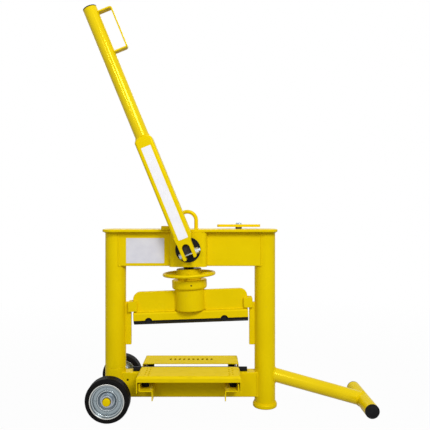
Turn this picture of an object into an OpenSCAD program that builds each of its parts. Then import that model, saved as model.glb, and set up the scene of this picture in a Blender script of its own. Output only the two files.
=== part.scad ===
// Manual stone splitter on two wheels and a T-shaped foot.
// A lever turns an eccentric shaft that presses the hanging upper blade down onto a stone,
// which lies on a sprung table over the fixed lower blade.
// Millimetres, +Z up, +X towards the T-shaped foot, -Y towards the lever side.

/* [Frame] */
// Distance between the two column axes
column_pitch = 552; // [520:1:640]
// Outer diameter of the columns
column_d = 76.1; // [70:0.1:82]
// Wall of the columns
column_wall = 4; // [3:0.5:8]
// Height of the top plate's upper face above the ground
frame_h = 655; // [640:1:760]
// Thickness of the top plate
plate_t = 10; // [6:1:16]
// Depth of the top plate, front to back
plate_w = 120; // [112:1:140]
// Overhang of the top plate past each column axis
plate_over = 44; // [42:1:70]
// Corner radius of the top plate
plate_r = 38; // [10:1:50]
// Height of the cross beam's section
beam_h = 124; // [100:1:124]
// Depth of the cross beam's section, front to back
beam_w = 70; // [40:1:72]
// Wall of the cross beam
beam_wall = 5; // [3:0.5:8]
// Length of each blade guide rail
rail_h = 157; // [120:1:180]
// Depth of the rails' upper end under the top plate's upper face
rail_drop = 269; // [260:1:300]
// Reach of each rail from the column's nearest point
rail_w = 20; // [16:1:24]
// Thickness of the rails, front to back
rail_t = 16; // [8:1:18]

/* [Base] */
// Height of the base beam's lower face above the ground
base_z = 41; // [30:1:50]
// Height of the base beam's section
base_h = 90; // [80:1:94]
// Depth of the base beam's section, front to back
base_w = 50; // [40:1:60]
// Wall of the base beam
base_wall = 5; // [3:0.5:8]
// Diameter of the drain hole in the base beam
drain_d = 8.5; // [3:0.5:10]
// Distance of that drain hole from the left column axis
drain_in = 48; // [45:1:80]
// Height of the joint where the left column stands on the axle post
post_top = 149; // [140:1:170]
// Wall of the axle post
post_wall = 8; // [6:0.5:12]
// Diameter of the foot under the right column
foot_d = 89; // [84:1:110]
// Height of the foot under the right column
foot_h = 16; // [10:1:24]
// Radius of the rounded edges of that foot
foot_r = 5; // [2:0.5:8]
// Outer diameter of the stabiliser and its cross tube
foot_tube_d = 51; // [38:0.5:56]
// Wall of the stabiliser tubes
foot_tube_wall = 3.2; // [2:0.1:6]
// Distance from the right column axis to the cross tube axis
foot_reach = 361; // [300:1:420]
// Length of the cross tube without its caps
foot_span = 242; // [180:1:320]
// Height where the stabiliser's axis meets the column axis
foot_root_z = 126; // [100:1:160]
// Thickness of the plastic tube caps where they show
cap_t = 4; // [2:0.5:6]
// Length of the caps' plugs inside the tubes
cap_plug = 14; // [6:1:24]

/* [Table] */
// Height of the table's upper face above the ground
table_z = 150.8; // [148:0.1:156]
// Length of the table, along the blade
table_len = 362; // [350:1:380]
// Half of the slot between the two table halves
table_gap = 22.5; // [16:0.5:23]
// Distance of the table's outer edges from the blade line
table_half = 138; // [120:1:160]
// Thickness of the table sheet
table_t = 3; // [3:0.5:5]
// Outer bend radius of the table sheet
table_bend = 9; // [6:0.5:12]
// Depth of the lip along the table's outer edge
table_lip = 20; // [14:1:24]
// Depth of the flanges at the table's ends
table_flange = 58; // [40:1:66]
// Distance from the blade line to the inner edge of those flanges
flange_start = 30; // [28:1:60]
// Number of drain slots in the rear table half
drain_count = 10; // [4:1:14]
// Spacing of the drain slots
drain_pitch = 17.5; // [12:0.5:20]
// Width of a drain slot
drain_slot_w = 8; // [4:0.5:10]
// Length of a drain slot, front to back
drain_slot_len = 24; // [12:1:40]
// Radius of a drain slot's corners
drain_slot_r = 3; // [0.5:0.5:3]
// Gap between the table's end flanges and the brackets
bracket_gap = 4; // [2:0.5:6]
// Thickness of the bracket sheet
bracket_t = 4; // [3:0.5:5]
// Height of the brackets' ledges above the ground
ledge_z = 99.5; // [92:0.5:112]
// Width of the ledges
ledge_w = 49; // [42:1:56]
// Height of the brackets' upright legs above the ledges
leg_up = 24; // [12:1:26]
// Depth of the brackets' lower legs under the ledges
leg_down = 36; // [20:1:50]
// Length of the brackets from the base beam outwards
bracket_len = 105; // [80:1:106]
// Diameter of the rubber buffers
buffer_d = 27; // [20:0.5:30]
// Gap between the buffers and the brackets' upright legs
buffer_gap = 1.5; // [1:0.5:4]
// Distance of the buffers from the blade line
buffer_y = 80; // [60:1:100]

/* [Lower blade] */
// Length of the lower blade
low_blade_len = 420; // [380:1:430]
// Thickness of the lower blade at its foot
low_blade_t = 20; // [12:1:26]
// Height of the lower blade
low_blade_h = 14.5; // [10:0.5:16]
// Width of the edge land on both blades
edge_w = 5; // [3:0.5:8]

/* [Wheels] */
// Outer radius of the tyres
wheel_r = 76; // [70:1:90]
// Width of the tyres
tyre_w = 52; // [40:1:60]
// Radius of the rim under the tyre
rim_r = 60; // [54:1:62]
// Radius of the tyre's tread edges
tread_r = 10; // [4:0.5:12]
// Distance from the machine's middle to the tyre's inner side
wheel_y = 121; // [100:1:140]
// Diameter of the axle between the wheels
axle_d = 30; // [24:1:34]
// Diameter of the axle ends that carry the wheels
spigot_d = 20; // [16:1:24]
// Wall of the wheel bushes
bush_wall = 5; // [3:0.5:7]
// Outer diameter of the wheel hubs
hub_boss_d = 40; // [38:1:46]
// Thickness of the rim sheet
rim_t = 4; // [3:0.5:5]
// Width of the rim's outer step
rim_step = 9; // [8:0.5:12]
// Depth of that step under the tyre's side
step_depth = 8; // [6:0.5:9]
// Depth of the rim's dish under the tyre's side
dish_depth = 14; // [12:0.5:20]
// Depth of the hub's end under the tyre's side
boss_depth = 2; // [1:0.5:4]
// Diameter of the caps on the axle ends
axle_cap_d = 27; // [25:0.5:32]
// Reach of the caps past the tyre's side
axle_cap_h = 8; // [6:0.5:12]
// Thickness of the caps' ends
axle_cap_t = 4; // [2:0.5:5]

/* [Lever shaft] */
// Offset of the shaft axis from the middle between the columns
shaft_x = -6; // [-20:1:20]
// Depth of the shaft axis under the top plate
shaft_drop = 62.6; // [60:0.1:66]
// Width of the shaft housing
housing_w = 136; // [130:1:150]
// Height of the shaft housing
housing_h = 125; // [122:1:130]
// Corner radius of the shaft housing
housing_r = 18; // [8:1:24]
// Side wall of the shaft housing
housing_wall = 8; // [5:0.5:10]
// Front and rear wall of the shaft housing
housing_face = 14; // [10:1:16]
// Diameter of the shaft's journals
journal_d = 45; // [40:1:48]
// Diameter of the eccentric
cam_d = 67; // [64:1:68]
// Offset of the eccentric from the shaft axis
cam_e = 10; // [6:0.5:10]
// Diameter of the shaft's thrust collars
collar_d = 56; // [52:1:64]
// Diameter of the front bearing's flange
bearing_flange_d = 91; // [91:1:100]
// Thickness of the bearing flanges
bearing_flange_t = 4; // [2:0.5:5]
// Diameter of the rear bearing's body
rear_bearing_d = 60; // [56:1:70]
// Width of the rear bearing's flange round its body
rear_flange_w = 8; // [4:0.5:12]
// Diameter of the retaining washer behind the rear bearing
retainer_d = 62; // [58:1:80]
// Thickness of the retaining washer
retainer_t = 6; // [4:0.5:10]
// Diameter of the retaining screw
screw_d = 12; // [8:1:14]
// Length of the retaining screw in the shaft
screw_len = 24; // [16:1:30]
// Thickness of the yoke round the eccentric, front to back
yoke_t = 50; // [40:1:60]
// Width of the yoke
yoke_w = 112; // [108:1:116]
// Diameter of the pin that carries the spindle
pin_d = 16; // [12:1:18]
// Depth of the pin under the shaft axis
pin_drop = 47.4; // [46:0.1:50]
// Wall of the yoke over the eccentric's slot
yoke_roof = 10; // [8:0.5:11]
// Wall of the yoke under the eccentric's slot
yoke_base = 15; // [8:0.5:16]
// Wall round the pin in the spindle's eye
eye_wall = 6; // [4:0.5:7]
// Thickness of the spindle's eye, front to back
eye_t = 24; // [18:1:28]

/* [Lever] */
// Angle of the resting lever from upright
lever_angle = 22.25; // [10:0.25:30]
// Length of the lever from the shaft axis to its end cap's top
lever_len = 920; // [800:1:1100]
// Width of the square lever box
box_w = 64; // [56:1:70]
// Offset of the lever box's axis from the shaft axis
box_shift = 4.5; // [0:0.5:6]
// Corner radius of the lever box
box_r = 8; // [5:0.5:12]
// Wall of the lever box
box_wall = 4; // [3:0.5:5]
// Height of the lever box's lower end above the shaft axis
box_start = 60; // [56:1:80]
// Height of the lever box's upper end above the shaft axis
box_end = 414; // [300:1:480]
// Length of the tapered shoulder on the box
shoulder = 16; // [12:1:40]
// Outer diameter of the lever tube
lever_tube_d = 50; // [42:0.5:52]
// Wall of the lever tube
lever_tube_wall = 3.2; // [2:0.1:5]
// Gap between the top plate's front edge and the lever
lever_gap = 6; // [5:0.5:10]
// Thickness of the fork's tines
tine_t = 11.5; // [7:0.5:14]
// Distance between the flats on the shaft's end
flats_w = 27; // [22:1:30]
// Length of the tines below the shaft axis
tine_len = 30; // [26:1:40]
// Height of the fork's crown over its notch
crown = 5; // [3:0.5:10]
// Height of the fork's straight sides under the lever box
fork_side = 8; // [4:0.5:12]
// Depth of the shaft's end behind the lever's front face
tongue_inset = 18; // [2:0.5:22]
// Diameter of the centre mark in the shaft's end
mark_d = 5; // [3:0.5:8]
// Depth of the fork bolt below the shaft axis
bolt_drop = 12; // [11:0.5:17]
// Room above the shaft's end in the fork's notch
notch_room = 2; // [0.5:0.5:3]
// Diameter of the fork bolt
bolt_d = 12; // [8:1:12]
// Width of the grip's flat bar, front to back
grip_w = 28; // [20:1:40]
// Thickness of the grip's flat bar
grip_t = 5.5; // [4:0.5:8]
// Reach of the grip from the lever's axis
grip_reach = 74; // [60:1:90]
// Height of the grip's lower leg above the shaft axis
grip_start = 739.5; // [600:0.5:760]
// Length of the grip along the lever
grip_len = 156; // [120:1:158]
// Outer corner radius of the grip
grip_r = 9; // [8:0.5:16]

/* [Top fittings] */
// Diameter of the lever's rest stop
stop_d = 16; // [12:1:18]
// Length of the lever's rest stop
stop_len = 30; // [20:1:40]
// Depth of the stop's back over the top plate
stop_bite = 2; // [1:0.5:4]
// Diameter of the lifting loop's bar
loop_d = 14.5; // [10:0.5:16]
// Outer width of the lifting loop
loop_w = 80; // [60:1:100]
// Height of the lifting loop above the top plate
loop_h = 71; // [55:1:100]
// Place of the lifting loop from the middle between the columns
loop_x = -11; // [-30:1:20]
// Place of the swivel bar's bolt from the middle between the columns
swivel_x = 180; // [160:1:190]
// Place of that bolt behind the blade line
swivel_y = 20; // [10:1:22]
// Length of the swivel bar
swivel_len = 161; // [120:1:161]
// Width of the swivel bar
swivel_w = 25; // [20:1:30]
// Thickness of the swivel bar
swivel_t = 9.5; // [5:0.5:12]
// Diameter of the spacer under the swivel bar
spacer_d = 24; // [20:1:30]
// Height of the spacer
spacer_t = 7; // [4:0.5:12]
// Diameter of the swivel bolt
swivel_bolt_d = 12; // [8:1:14]

/* [Upper blade] */
// Lean of the hanging blade against the right rail, in degrees
blade_tilt = 2.1; // [0:0.1:2.1]
// Diameter of the threaded spindle
spindle_d = 40; // [36:1:44]
// Length of the spindle below its pin
spindle_len = 164; // [155:1:166]
// Depth of the adjusting hub's top under the pin
hub_drop = 26; // [25:1:32]
// Depth of the spindle's full thickness under its eye
spindle_neck = 4; // [3:0.5:8]
// Diameter of the adjusting hub
hub_d = 92; // [86:1:96]
// Height of the hub above the socket cap
hub_h = 40; // [34:1:44]
// Gap between the hub's rim and the socket cap
hub_gap = 4.5; // [2:0.5:8]
// Diameter of the hub's neck in the cap
neck_d = 84; // [82:1:88]
// Diameter of the hub's nut inside the socket
nut_d = 80; // [70:1:84]
// Length of the hub's nut inside the socket
nut_len = 56; // [40:1:60]
// Diameter of the hub's collar inside the cap
hub_collar_d = 106; // [104:1:110]
// Height of the hub's collar
hub_collar_t = 4; // [3:0.5:6]
// Outer diameter of the hand ring
ring_d = 196; // [180:1:220]
// Diameter of the hand ring's bar
ring_bar = 12; // [8:0.5:16]
// Diameter of the hand ring's spokes
spoke_d = 10; // [6:0.5:12]
// Depth of the hand ring under the hub's top
ring_drop = 20; // [12:0.5:26]
// Outer diameter of the socket cap
cap_d = 129; // [126:1:140]
// Height of the socket cap
cap_h = 34; // [30:1:38]
// Radius of the cap's lower edge
cap_r = 9; // [4:0.5:10]
// Thickness of the cap's top
cap_top = 5; // [4:0.5:6]
// Outer diameter of the socket tube
socket_d = 110; // [106:1:112]
// Wall of the socket tube
socket_wall = 8; // [6:0.5:9]
// Length of the socket tube
socket_len = 101.5; // [100:0.5:110]
// Thickness of the thrust washer
washer_t = 2; // [1:0.5:3]
// Diameter of the cap's set screw
set_screw_d = 6; // [5:0.5:7]
// Depth of the set screw's axis under the socket tube's upper end
screw_under = 4.5; // [4.5:0.5:8]
// Turn of the set screw to the right of the front, in degrees
screw_turn = 8; // [0:1:20]
// Depth of the set screw's end under the cap's surface
screw_sink = 2; // [0.5:0.5:3]
// Thickness of the carrier plate
carrier_t = 20; // [18:1:24]
// Gap between the socket cap and the carrier plate's top edge
carrier_gap = 5.5; // [1:0.5:8]
// Radius of the carrier plate's top corners
carrier_r = 27; // [10:1:30]
// Gap between the blade's ends and the rails when the blade is centred between them
blade_play = 7; // [7:0.5:20]
// Offset of the blade's middle from the spindle
blade_shift = 1; // [0:0.5:1]
// Height of the blade holder
holder_h = 30.5; // [30:0.5:40]
// Thickness of each holder bar, front to back
holder_t = 12; // [9:0.5:16]
// Radius along the holder bars' top edges
holder_r = 8; // [3:0.5:8]
// Thickness of the upper blade
blade_t = 28; // [26:1:30]
// Height of the upper blade that shows under its holder
blade_out = 17; // [12:0.5:18]
// Height of the upper blade inside its holder
blade_in = 19; // [14:0.5:22]
// Thickness of the carrier's tongue inside the blade
tongue_t = 10; // [6:0.5:12]
// Depth of the tongue under the blade bolts
tongue_under = 5; // [3:0.5:5]
// Diameter of the blade bolts
blade_bolt_d = 10; // [6:0.5:10]
// Depth of the bolts under the holder's lower face
bolt_under = 4; // [2:0.5:4.5]
// Depth of the blade bolts behind the tongue
bolt_grip = 5; // [3:0.5:6]
// Distance between the blade bolts
blade_bolt_pitch = 278; // [200:1:320]
// Offset of the bolts' middle from the spindle
blade_bolt_shift = -15; // [-30:1:30]
// Radius of the notches over the bolt heads
notch_r = 14; // [12:0.5:18]
// Length of the guide lugs past the blade's ends
lug_over = 18; // [12:0.5:20]
// Length of the guide lugs on the carrier plate
lug_in = 15; // [10:1:25]
// Height of the guide lugs
lug_h = 37; // [25:1:44]
// Thickness of the guide lugs, front to back
lug_t = 12; // [6:0.5:14]
// Height of the lugs above the blade holder
lug_lift = 3.5; // [2:0.5:20]

/* [Clearances] */
// Gap all round a fixed seat
seat = 0.05; // [0.02:0.01:0.1]
// Gap all round a turning or sliding fit
run = 0.08; // [0.05:0.01:0.1]
// Gap between faces that pass each other
pass = 0.3; // [0.2:0.05:0.5]
// Room at the end of a hole or slot
room = 1; // [0.5:0.5:2]

/* [Hidden] */
$fn = 96;
over = 1;
yellow = "#E8CC0C";
black = "#1A1A1A";
zinc = "silver";
rust_brown = "#4A4238";

half_pitch = column_pitch / 2;
beam_top = frame_h - plate_t;
beam_z = beam_top - beam_h;
base_top = base_z + base_h;
rail_in = half_pitch - column_d / 2 - rail_w;
rail_z = frame_h - rail_drop - rail_h;

shaft_z = beam_top - shaft_drop;
plate_front = -plate_w / 2;
housing_z = beam_top - housing_h;
housing_left = shaft_x - housing_w / 2;
housing_right = shaft_x + housing_w / 2;
front_bearing_d = 2 * (cam_d / 2 + cam_e + room);
cavity_half = plate_w / 2 - housing_face;
shaft_rear = plate_w / 2 + bearing_flange_t + pass;

lever_back = plate_front - lever_gap;
lever_mid = lever_back - box_w / 2;
tongue_end = lever_back - box_w + tongue_inset;
fork_half = flats_w / 2 + tine_t;
notch_top = journal_d / 2 - flats_w / 2;
lever_tube_top = lever_len - cap_t;
hex_ratio = 1.58;
flange_ratio = 2;
bolt_flange_t = 2.5;

slope = atan((foot_root_z - foot_tube_d / 2) / foot_reach);
stabiliser_len = foot_reach / cos(slope);
foot_tube_z = foot_tube_d / 2;
foot_x = half_pitch + foot_reach;
reach_left = shaft_x - lever_len * sin(lever_angle)
    - (lever_tube_d / 2 - box_shift) * cos(lever_angle);
reach_right = foot_x + foot_tube_d / 2;
centre_x = -(reach_left + reach_right) / 2;

ledge_in = table_len / 2 - table_t - bracket_gap - ledge_w;
buffer_x = ledge_in + ledge_w - bracket_t - buffer_gap - buffer_d / 2;
table_under = table_z - table_t;

wheel_out = wheel_y + tyre_w;
axle_cap_out = wheel_out + axle_cap_h;
spigot_out = axle_cap_out - axle_cap_t;

pin_z = shaft_z - pin_drop;
eye_r = pin_d / 2 + eye_wall;
cheek_r = eye_r;
slot_low = cam_e - cam_d / 2 - pass;
slot_high = cam_e + cam_d / 2 + 0.25 * cam_e + 2 * pass;
yoke_top = slot_high + yoke_roof;
yoke_floor = slot_low - yoke_base;

hub_top = -hub_drop;
cap_z = hub_top - hub_h;
cap_low = cap_z - cap_h;
collar_top = cap_z - cap_top - pass;
socket_top = collar_top - hub_collar_t - pass - washer_t;
socket_low = socket_top - socket_len;
carrier_top = cap_low - carrier_gap;
holder_top = socket_low;
holder_low = holder_top - holder_h;
blade_top = holder_low + blade_in;
blade_edge = holder_low - blade_out;
blade_half = rail_in - blade_play;
blade_bolt_z = holder_low - bolt_under;
tongue_low = blade_bolt_z - tongue_under;
lug_low = holder_top + lug_lift;
screw_z = socket_top - screw_under;
hub_low = cap_z + hub_gap;

// Places

// Moves a piece from the middle between the columns to the middle of the whole machine.
module in_place() {
    translate([centre_x, 0, 0]) children();
}

// Shaft frame: Z = 0 on the shaft axis, turned so that Z runs along the lever.
module on_lever() {
    in_place() translate([shaft_x, 0, shaft_z]) rotate([0, -lever_angle, 0]) children();
}

// Hanging frame: Z = 0 on the pin, Z along the spindle as it leans at rest.
module on_spindle() {
    in_place() translate([shaft_x, 0, pin_z]) rotate([0, -blade_tilt, 0]) children();
}

// Shapes that repeat

module tube(d, wall, h) {
    difference() {
        cylinder(d = d, h = h);
        translate([0, 0, -over]) cylinder(d = d - 2 * wall, h = h + 2 * over);
    }
}

module ring(d, bore, h) {
    tube(d, (d - bore) / 2, h);
}

// Cylinder along +Y that starts at y.
module rod_y(d, y, len) {
    translate([0, y, 0]) rotate([-90, 0, 0]) cylinder(d = d, h = len);
}

// Cylinder along +X that starts at x.
module rod_x(d, x, len) {
    translate([x, 0, 0]) rotate([0, 90, 0]) cylinder(d = d, h = len);
}

module rounded_rect(w, d, r) {
    square([w - 2 * r, d], center = true);
    square([w, d - 2 * r], center = true);
    for (x = [-1, 1], y = [-1, 1])
        translate([x * (w / 2 - r), y * (d / 2 - r)]) circle(r);
}

// Rectangle from the origin with its far upper corner rounded.
module corner_rect(w, h, r) {
    square([w - r, h]);
    square([w, h - r]);
    translate([w - r, h - r]) intersection() {
        circle(r);
        square(r);
    }
}

// Rectangular hollow section along X, centred on Y, standing on Z = 0.
module hollow_beam(x0, x1, w, h, wall) {
    difference() {
        translate([x0, -w / 2, 0]) cube([x1 - x0, w, h]);
        translate([x0 - over, wall - w / 2, wall])
            cube([x1 - x0 + 2 * over, w - 2 * wall, h - 2 * wall]);
    }
}

module column_cut(x) {
    translate([x, 0, 0]) cylinder(d = column_d + 2 * seat, h = frame_h);
}

module hex_head(af, h) {
    cylinder(d = af / cos(30), h = h, $fn = 6);
}

// Extrudes an outline drawn in X and Z along Y, from y0 to y1.
module along_y(y0, y1) {
    translate([0, y1, 0]) rotate([90, 0, 0]) linear_extrude(y1 - y0) children();
}

// Extrudes an outline drawn in Y and Z along X, from x0 to x1.
module along_x(x0, x1) {
    translate([x0, 0, 0]) rotate([90, 0, 90]) linear_extrude(x1 - x0) children();
}

// Frame

module top_plate() {
    color(yellow) in_place() difference() {
        translate([0, 0, beam_top]) linear_extrude(plate_t)
            rounded_rect(2 * (half_pitch + plate_over), plate_w, plate_r);
        translate([swivel_x, swivel_y, beam_top - over])
            cylinder(d = swivel_bolt_d + 2 * seat, h = plate_t + 2 * over);
    }
}

module left_column() {
    color(yellow) in_place() translate([-half_pitch, 0, post_top])
        tube(column_d, column_wall, beam_top - post_top);
}

module right_column() {
    color(yellow) in_place() translate([half_pitch, 0, foot_h])
        tube(column_d, column_wall, beam_top - foot_h);
}

module axle_post() {
    color(yellow) in_place() translate([-half_pitch, 0, 0]) difference() {
        translate([0, 0, base_z]) tube(column_d, post_wall, post_top - base_z);
        translate([0, 0, wheel_r]) rod_y(axle_d + 2 * seat, -column_d, 2 * column_d);
    }
}

module left_cross_beam() {
    color(yellow) in_place() difference() {
        translate([0, 0, beam_z]) hollow_beam(-half_pitch, housing_left, beam_w, beam_h, beam_wall);
        column_cut(-half_pitch);
    }
}

module right_cross_beam() {
    color(yellow) in_place() difference() {
        translate([0, 0, beam_z]) hollow_beam(housing_right, half_pitch, beam_w, beam_h, beam_wall);
        column_cut(half_pitch);
    }
}

module shaft_housing() {
    inner_r = max(housing_r - housing_wall, 3);
    color(yellow) in_place() difference() {
        translate([shaft_x, 0, housing_z]) linear_extrude(housing_h) difference() {
            rounded_rect(housing_w, plate_w, housing_r);
            rounded_rect(housing_w - 2 * housing_wall, 2 * cavity_half, inner_r);
        }
        translate([shaft_x, 0, shaft_z]) {
            rod_y(front_bearing_d + 2 * seat, plate_front - over, plate_w / 2);
            rod_y(rear_bearing_d + 2 * seat, 0, plate_w / 2 + over);
        }
    }
}

module base_beam() {
    drain_x = drain_in - half_pitch;
    drain_z = base_z + 0.7 * base_h;
    color(yellow) in_place() difference() {
        translate([0, 0, base_z]) hollow_beam(-half_pitch, half_pitch, base_w, base_h, base_wall);
        column_cut(-half_pitch);
        column_cut(half_pitch);
        translate([drain_x, 0, drain_z]) rod_y(drain_d, -base_w / 2 - over, base_wall + 2 * over);
    }
}

module right_foot() {
    color(yellow) in_place() translate([half_pitch, 0, 0]) rotate_extrude() {
        square([foot_d / 2 - foot_r, foot_h]);
        translate([0, foot_r]) square([foot_d / 2, foot_h - 2 * foot_r]);
        for (z = [foot_r, foot_h - foot_r]) translate([foot_d / 2 - foot_r, z]) circle(foot_r);
    }
}

module guide_rail(side) {
    low = rail_in;
    translate([0, 0, rail_z]) difference() {
        translate([side > 0 ? low : -half_pitch, -rail_t / 2, 0])
            cube([half_pitch - low, rail_t, rail_h]);
        translate([side * half_pitch, 0, -over])
            cylinder(d = column_d + 2 * seat, h = rail_h + 2 * over);
    }
}

module left_guide_rail() {
    color(yellow) in_place() guide_rail(-1);
}

module right_guide_rail() {
    color(yellow) in_place() guide_rail(1);
}

module lower_blade() {
    shoulder_z = low_blade_h / 2;
    color(black) in_place() translate([0, 0, base_top])
        along_x(-low_blade_len / 2, low_blade_len / 2) polygon([
            [-low_blade_t / 2, 0], [low_blade_t / 2, 0], [low_blade_t / 2, shoulder_z],
            [edge_w / 2, low_blade_h], [-edge_w / 2, low_blade_h], [-low_blade_t / 2, shoulder_z]
        ]);
}

// Sprung table

// Z-shaped bracket on the right, from the base beam's rear face backwards.
module table_bracket() {
    along_y(base_w / 2, base_w / 2 + bracket_len) {
        translate([ledge_in, ledge_z - bracket_t]) square([ledge_w, bracket_t]);
        translate([ledge_in + ledge_w - bracket_t, ledge_z - bracket_t])
            square([bracket_t, leg_up + bracket_t]);
        translate([ledge_in, ledge_z - leg_down]) square([bracket_t, leg_down]);
    }
}

module table_brackets() {
    color(yellow) in_place()
        for (x = [0, 1], y = [0, 1]) mirror([x, 0, 0]) mirror([0, y, 0]) table_bracket();
}

module buffer_pair(side) {
    for (x = [-1, 1]) translate([x * buffer_x, side * buffer_y, ledge_z])
        cylinder(d = buffer_d, h = table_under - ledge_z);
}

module front_buffers() {
    color(black) in_place() buffer_pair(-1);
}

module rear_buffers() {
    color(black) in_place() buffer_pair(1);
}

// Block under the table's face, rounded along its outer edge and both ends.
module table_block(y0, y1, half_len, top, low, r) {
    intersection() {
        along_x(-half_len, half_len) translate([y0, low]) corner_rect(y1 - y0, top - low, r);
        along_y(y0, y1) for (x = [0, 1]) mirror([x, 0]) translate([0, low])
            corner_rect(half_len, top - low, r);
    }
}

// Rear half of the table: a sheet folded down along its outer edge and at both ends.
module table_rear_half() {
    low = table_z - table_flange;
    inner = table_len / 2 - table_t;
    difference() {
        table_block(table_gap, table_half, table_len / 2, table_z, low, table_bend);
        table_block(table_gap - over, table_half - table_t, inner, table_under, low - over,
            table_bend - table_t);
        translate([-inner, table_half - 2 * table_t, low - over])
            cube([2 * inner, 3 * table_t, table_flange - table_lip + over]);
        translate([-table_len, 0, low - over])
            cube([2 * table_len, flange_start, table_flange - table_t + over]);
    }
}

module front_table() {
    color(yellow) in_place() mirror([0, 1, 0]) table_rear_half();
}

module rear_table() {
    first = -(drain_count - 1) / 2 * drain_pitch;
    color(yellow) in_place() difference() {
        table_rear_half();
        for (i = [0:drain_count - 1])
            translate([first + i * drain_pitch, buffer_y, table_under - over])
                linear_extrude(table_t + 2 * over)
                    rounded_rect(drain_slot_w, drain_slot_len, drain_slot_r);
    }
}

// T-shaped foot

module stabiliser_tube() {
    color(yellow) in_place() difference() {
        translate([half_pitch, 0, foot_root_z]) rotate([0, 90 + slope, 0])
            tube(foot_tube_d, foot_tube_wall, stabiliser_len);
        column_cut(half_pitch);
        translate([foot_x, 0, foot_tube_z])
            rod_y(foot_tube_d + 2 * seat, -foot_span / 2, foot_span);
    }
}

module foot_cross_tube() {
    color(yellow) in_place() translate([foot_x, -foot_span / 2, foot_tube_z]) rotate([-90, 0, 0])
        tube(foot_tube_d, foot_tube_wall, foot_span);
}

// Plastic cap on the tube end at Z = 0, with its plug inside the tube below.
module tube_cap(d, wall) {
    plug_d = d - 2 * wall - 2 * seat;
    cylinder(d = d, h = cap_t);
    translate([0, 0, -cap_plug]) cylinder(d = plug_d, h = cap_plug);
}

module foot_end_caps() {
    color(black) in_place() for (side = [-1, 1])
        translate([foot_x, side * foot_span / 2, foot_tube_z]) rotate([-side * 90, 0, 0])
            tube_cap(foot_tube_d, foot_tube_wall);
}

// Fittings on the top plate

module lifting_loop() {
    bend = (loop_w - loop_d) / 2;
    leg = loop_h - loop_w / 2;
    color(yellow) in_place() translate([loop_x, 0, frame_h]) {
        for (x = [-1, 1]) translate([x * bend, 0, 0]) cylinder(d = loop_d, h = leg);
        translate([0, 0, leg]) rotate([90, 0, 0]) rotate_extrude(angle = 180)
            translate([bend, 0]) circle(d = loop_d);
    }
}

module lever_stop() {
    stop_y = plate_front - stop_d / 2 + stop_bite;
    stop_z = frame_h + sqrt(pow(stop_d / 2, 2) - pow(stop_d / 2 - stop_bite, 2)) + seat;
    side = shaft_x - (stop_z + stop_d / 2 - shaft_z) * tan(lever_angle)
        - (box_w / 2 - box_shift) / cos(lever_angle) - pass;
    color(yellow) in_place() translate([0, stop_y, stop_z]) rod_x(stop_d, side - stop_len, stop_len);
}

module swivel_spacer() {
    color(rust_brown) in_place() translate([swivel_x, swivel_y, frame_h])
        ring(spacer_d, swivel_bolt_d + 2 * seat, spacer_t);
}

module swivel_bar() {
    color(yellow) in_place() translate([swivel_x, swivel_y, frame_h + spacer_t])
        linear_extrude(swivel_t) difference() {
            rounded_rect(swivel_len, swivel_w, 0.46 * swivel_w);
            circle(d = swivel_bolt_d + 2 * run);
        }
}

module swivel_bolt() {
    color(zinc) in_place() translate([swivel_x, swivel_y, beam_top]) {
        shank = plate_t + spacer_t + swivel_t;
        cylinder(d = swivel_bolt_d, h = shank);
        translate([0, 0, shank]) hex_head(swivel_bolt_d * hex_ratio, swivel_bolt_d * 0.55);
    }
}

// Wheels

module on_wheel(side) {
    in_place() translate([-half_pitch, 0, wheel_r]) rotate([-side * 90, 0, 0])
        translate([0, 0, wheel_y]) children();
}

module tyre() {
    rotate_extrude() difference() {
        union() {
            translate([rim_r, 0]) square([wheel_r - tread_r - rim_r, tyre_w]);
            translate([rim_r, tread_r]) square([wheel_r - rim_r, tyre_w - 2 * tread_r]);
            for (z = [tread_r, tyre_w - tread_r]) translate([wheel_r - tread_r, z]) circle(tread_r);
        }
        square([rim_r + seat, tyre_w]);
    }
}

module rim() {
    boss_r = hub_boss_d / 2;
    bore_r = spigot_d / 2 + bush_wall + run + seat;
    dish_z = tyre_w - dish_depth;
    step_z = tyre_w - step_depth;
    step_r = rim_r - rim_step;
    rotate_extrude() {
        translate([rim_r - rim_t, room]) square([rim_t, tyre_w - 2 * room]);
        translate([boss_r, dish_z - rim_t]) square([step_r - boss_r, rim_t]);
        translate([step_r - rim_t, dish_z - rim_t]) square([rim_t, step_z - dish_z + rim_t]);
        translate([step_r - rim_t, step_z - rim_t]) square([rim_step, rim_t]);
        translate([bore_r, 0]) square([boss_r - bore_r + seat, tyre_w - boss_depth]);
    }
}

module wheel_bush() {
    bore = spigot_d + 2 * run;
    ring(bore + 2 * bush_wall, bore, tyre_w - boss_depth);
}

module front_tyre() {
    color(black) on_wheel(-1) tyre();
}

module rear_tyre() {
    color(black) on_wheel(1) tyre();
}

module front_rim() {
    color(zinc) on_wheel(-1) rim();
}

module rear_rim() {
    color(zinc) on_wheel(1) rim();
}

module front_wheel_bush() {
    color(black) on_wheel(-1) wheel_bush();
}

module rear_wheel_bush() {
    color(black) on_wheel(1) wheel_bush();
}

module wheel_axle() {
    shoulder_y = wheel_y - pass;
    color(zinc) in_place() translate([-half_pitch, 0, wheel_r]) {
        rod_y(axle_d, -shoulder_y, 2 * shoulder_y);
        rod_y(spigot_d, -spigot_out, 2 * spigot_out);
    }
}

module axle_caps() {
    cap_in = tyre_w - boss_depth + pass;
    color(yellow) for (side = [-1, 1]) on_wheel(side) difference() {
        translate([0, 0, cap_in]) cylinder(d = axle_cap_d, h = axle_cap_out - wheel_y - cap_in);
        cylinder(d = spigot_d + 2 * seat, h = spigot_out - wheel_y);
    }
}

// Eccentric shaft and its bearings

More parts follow.
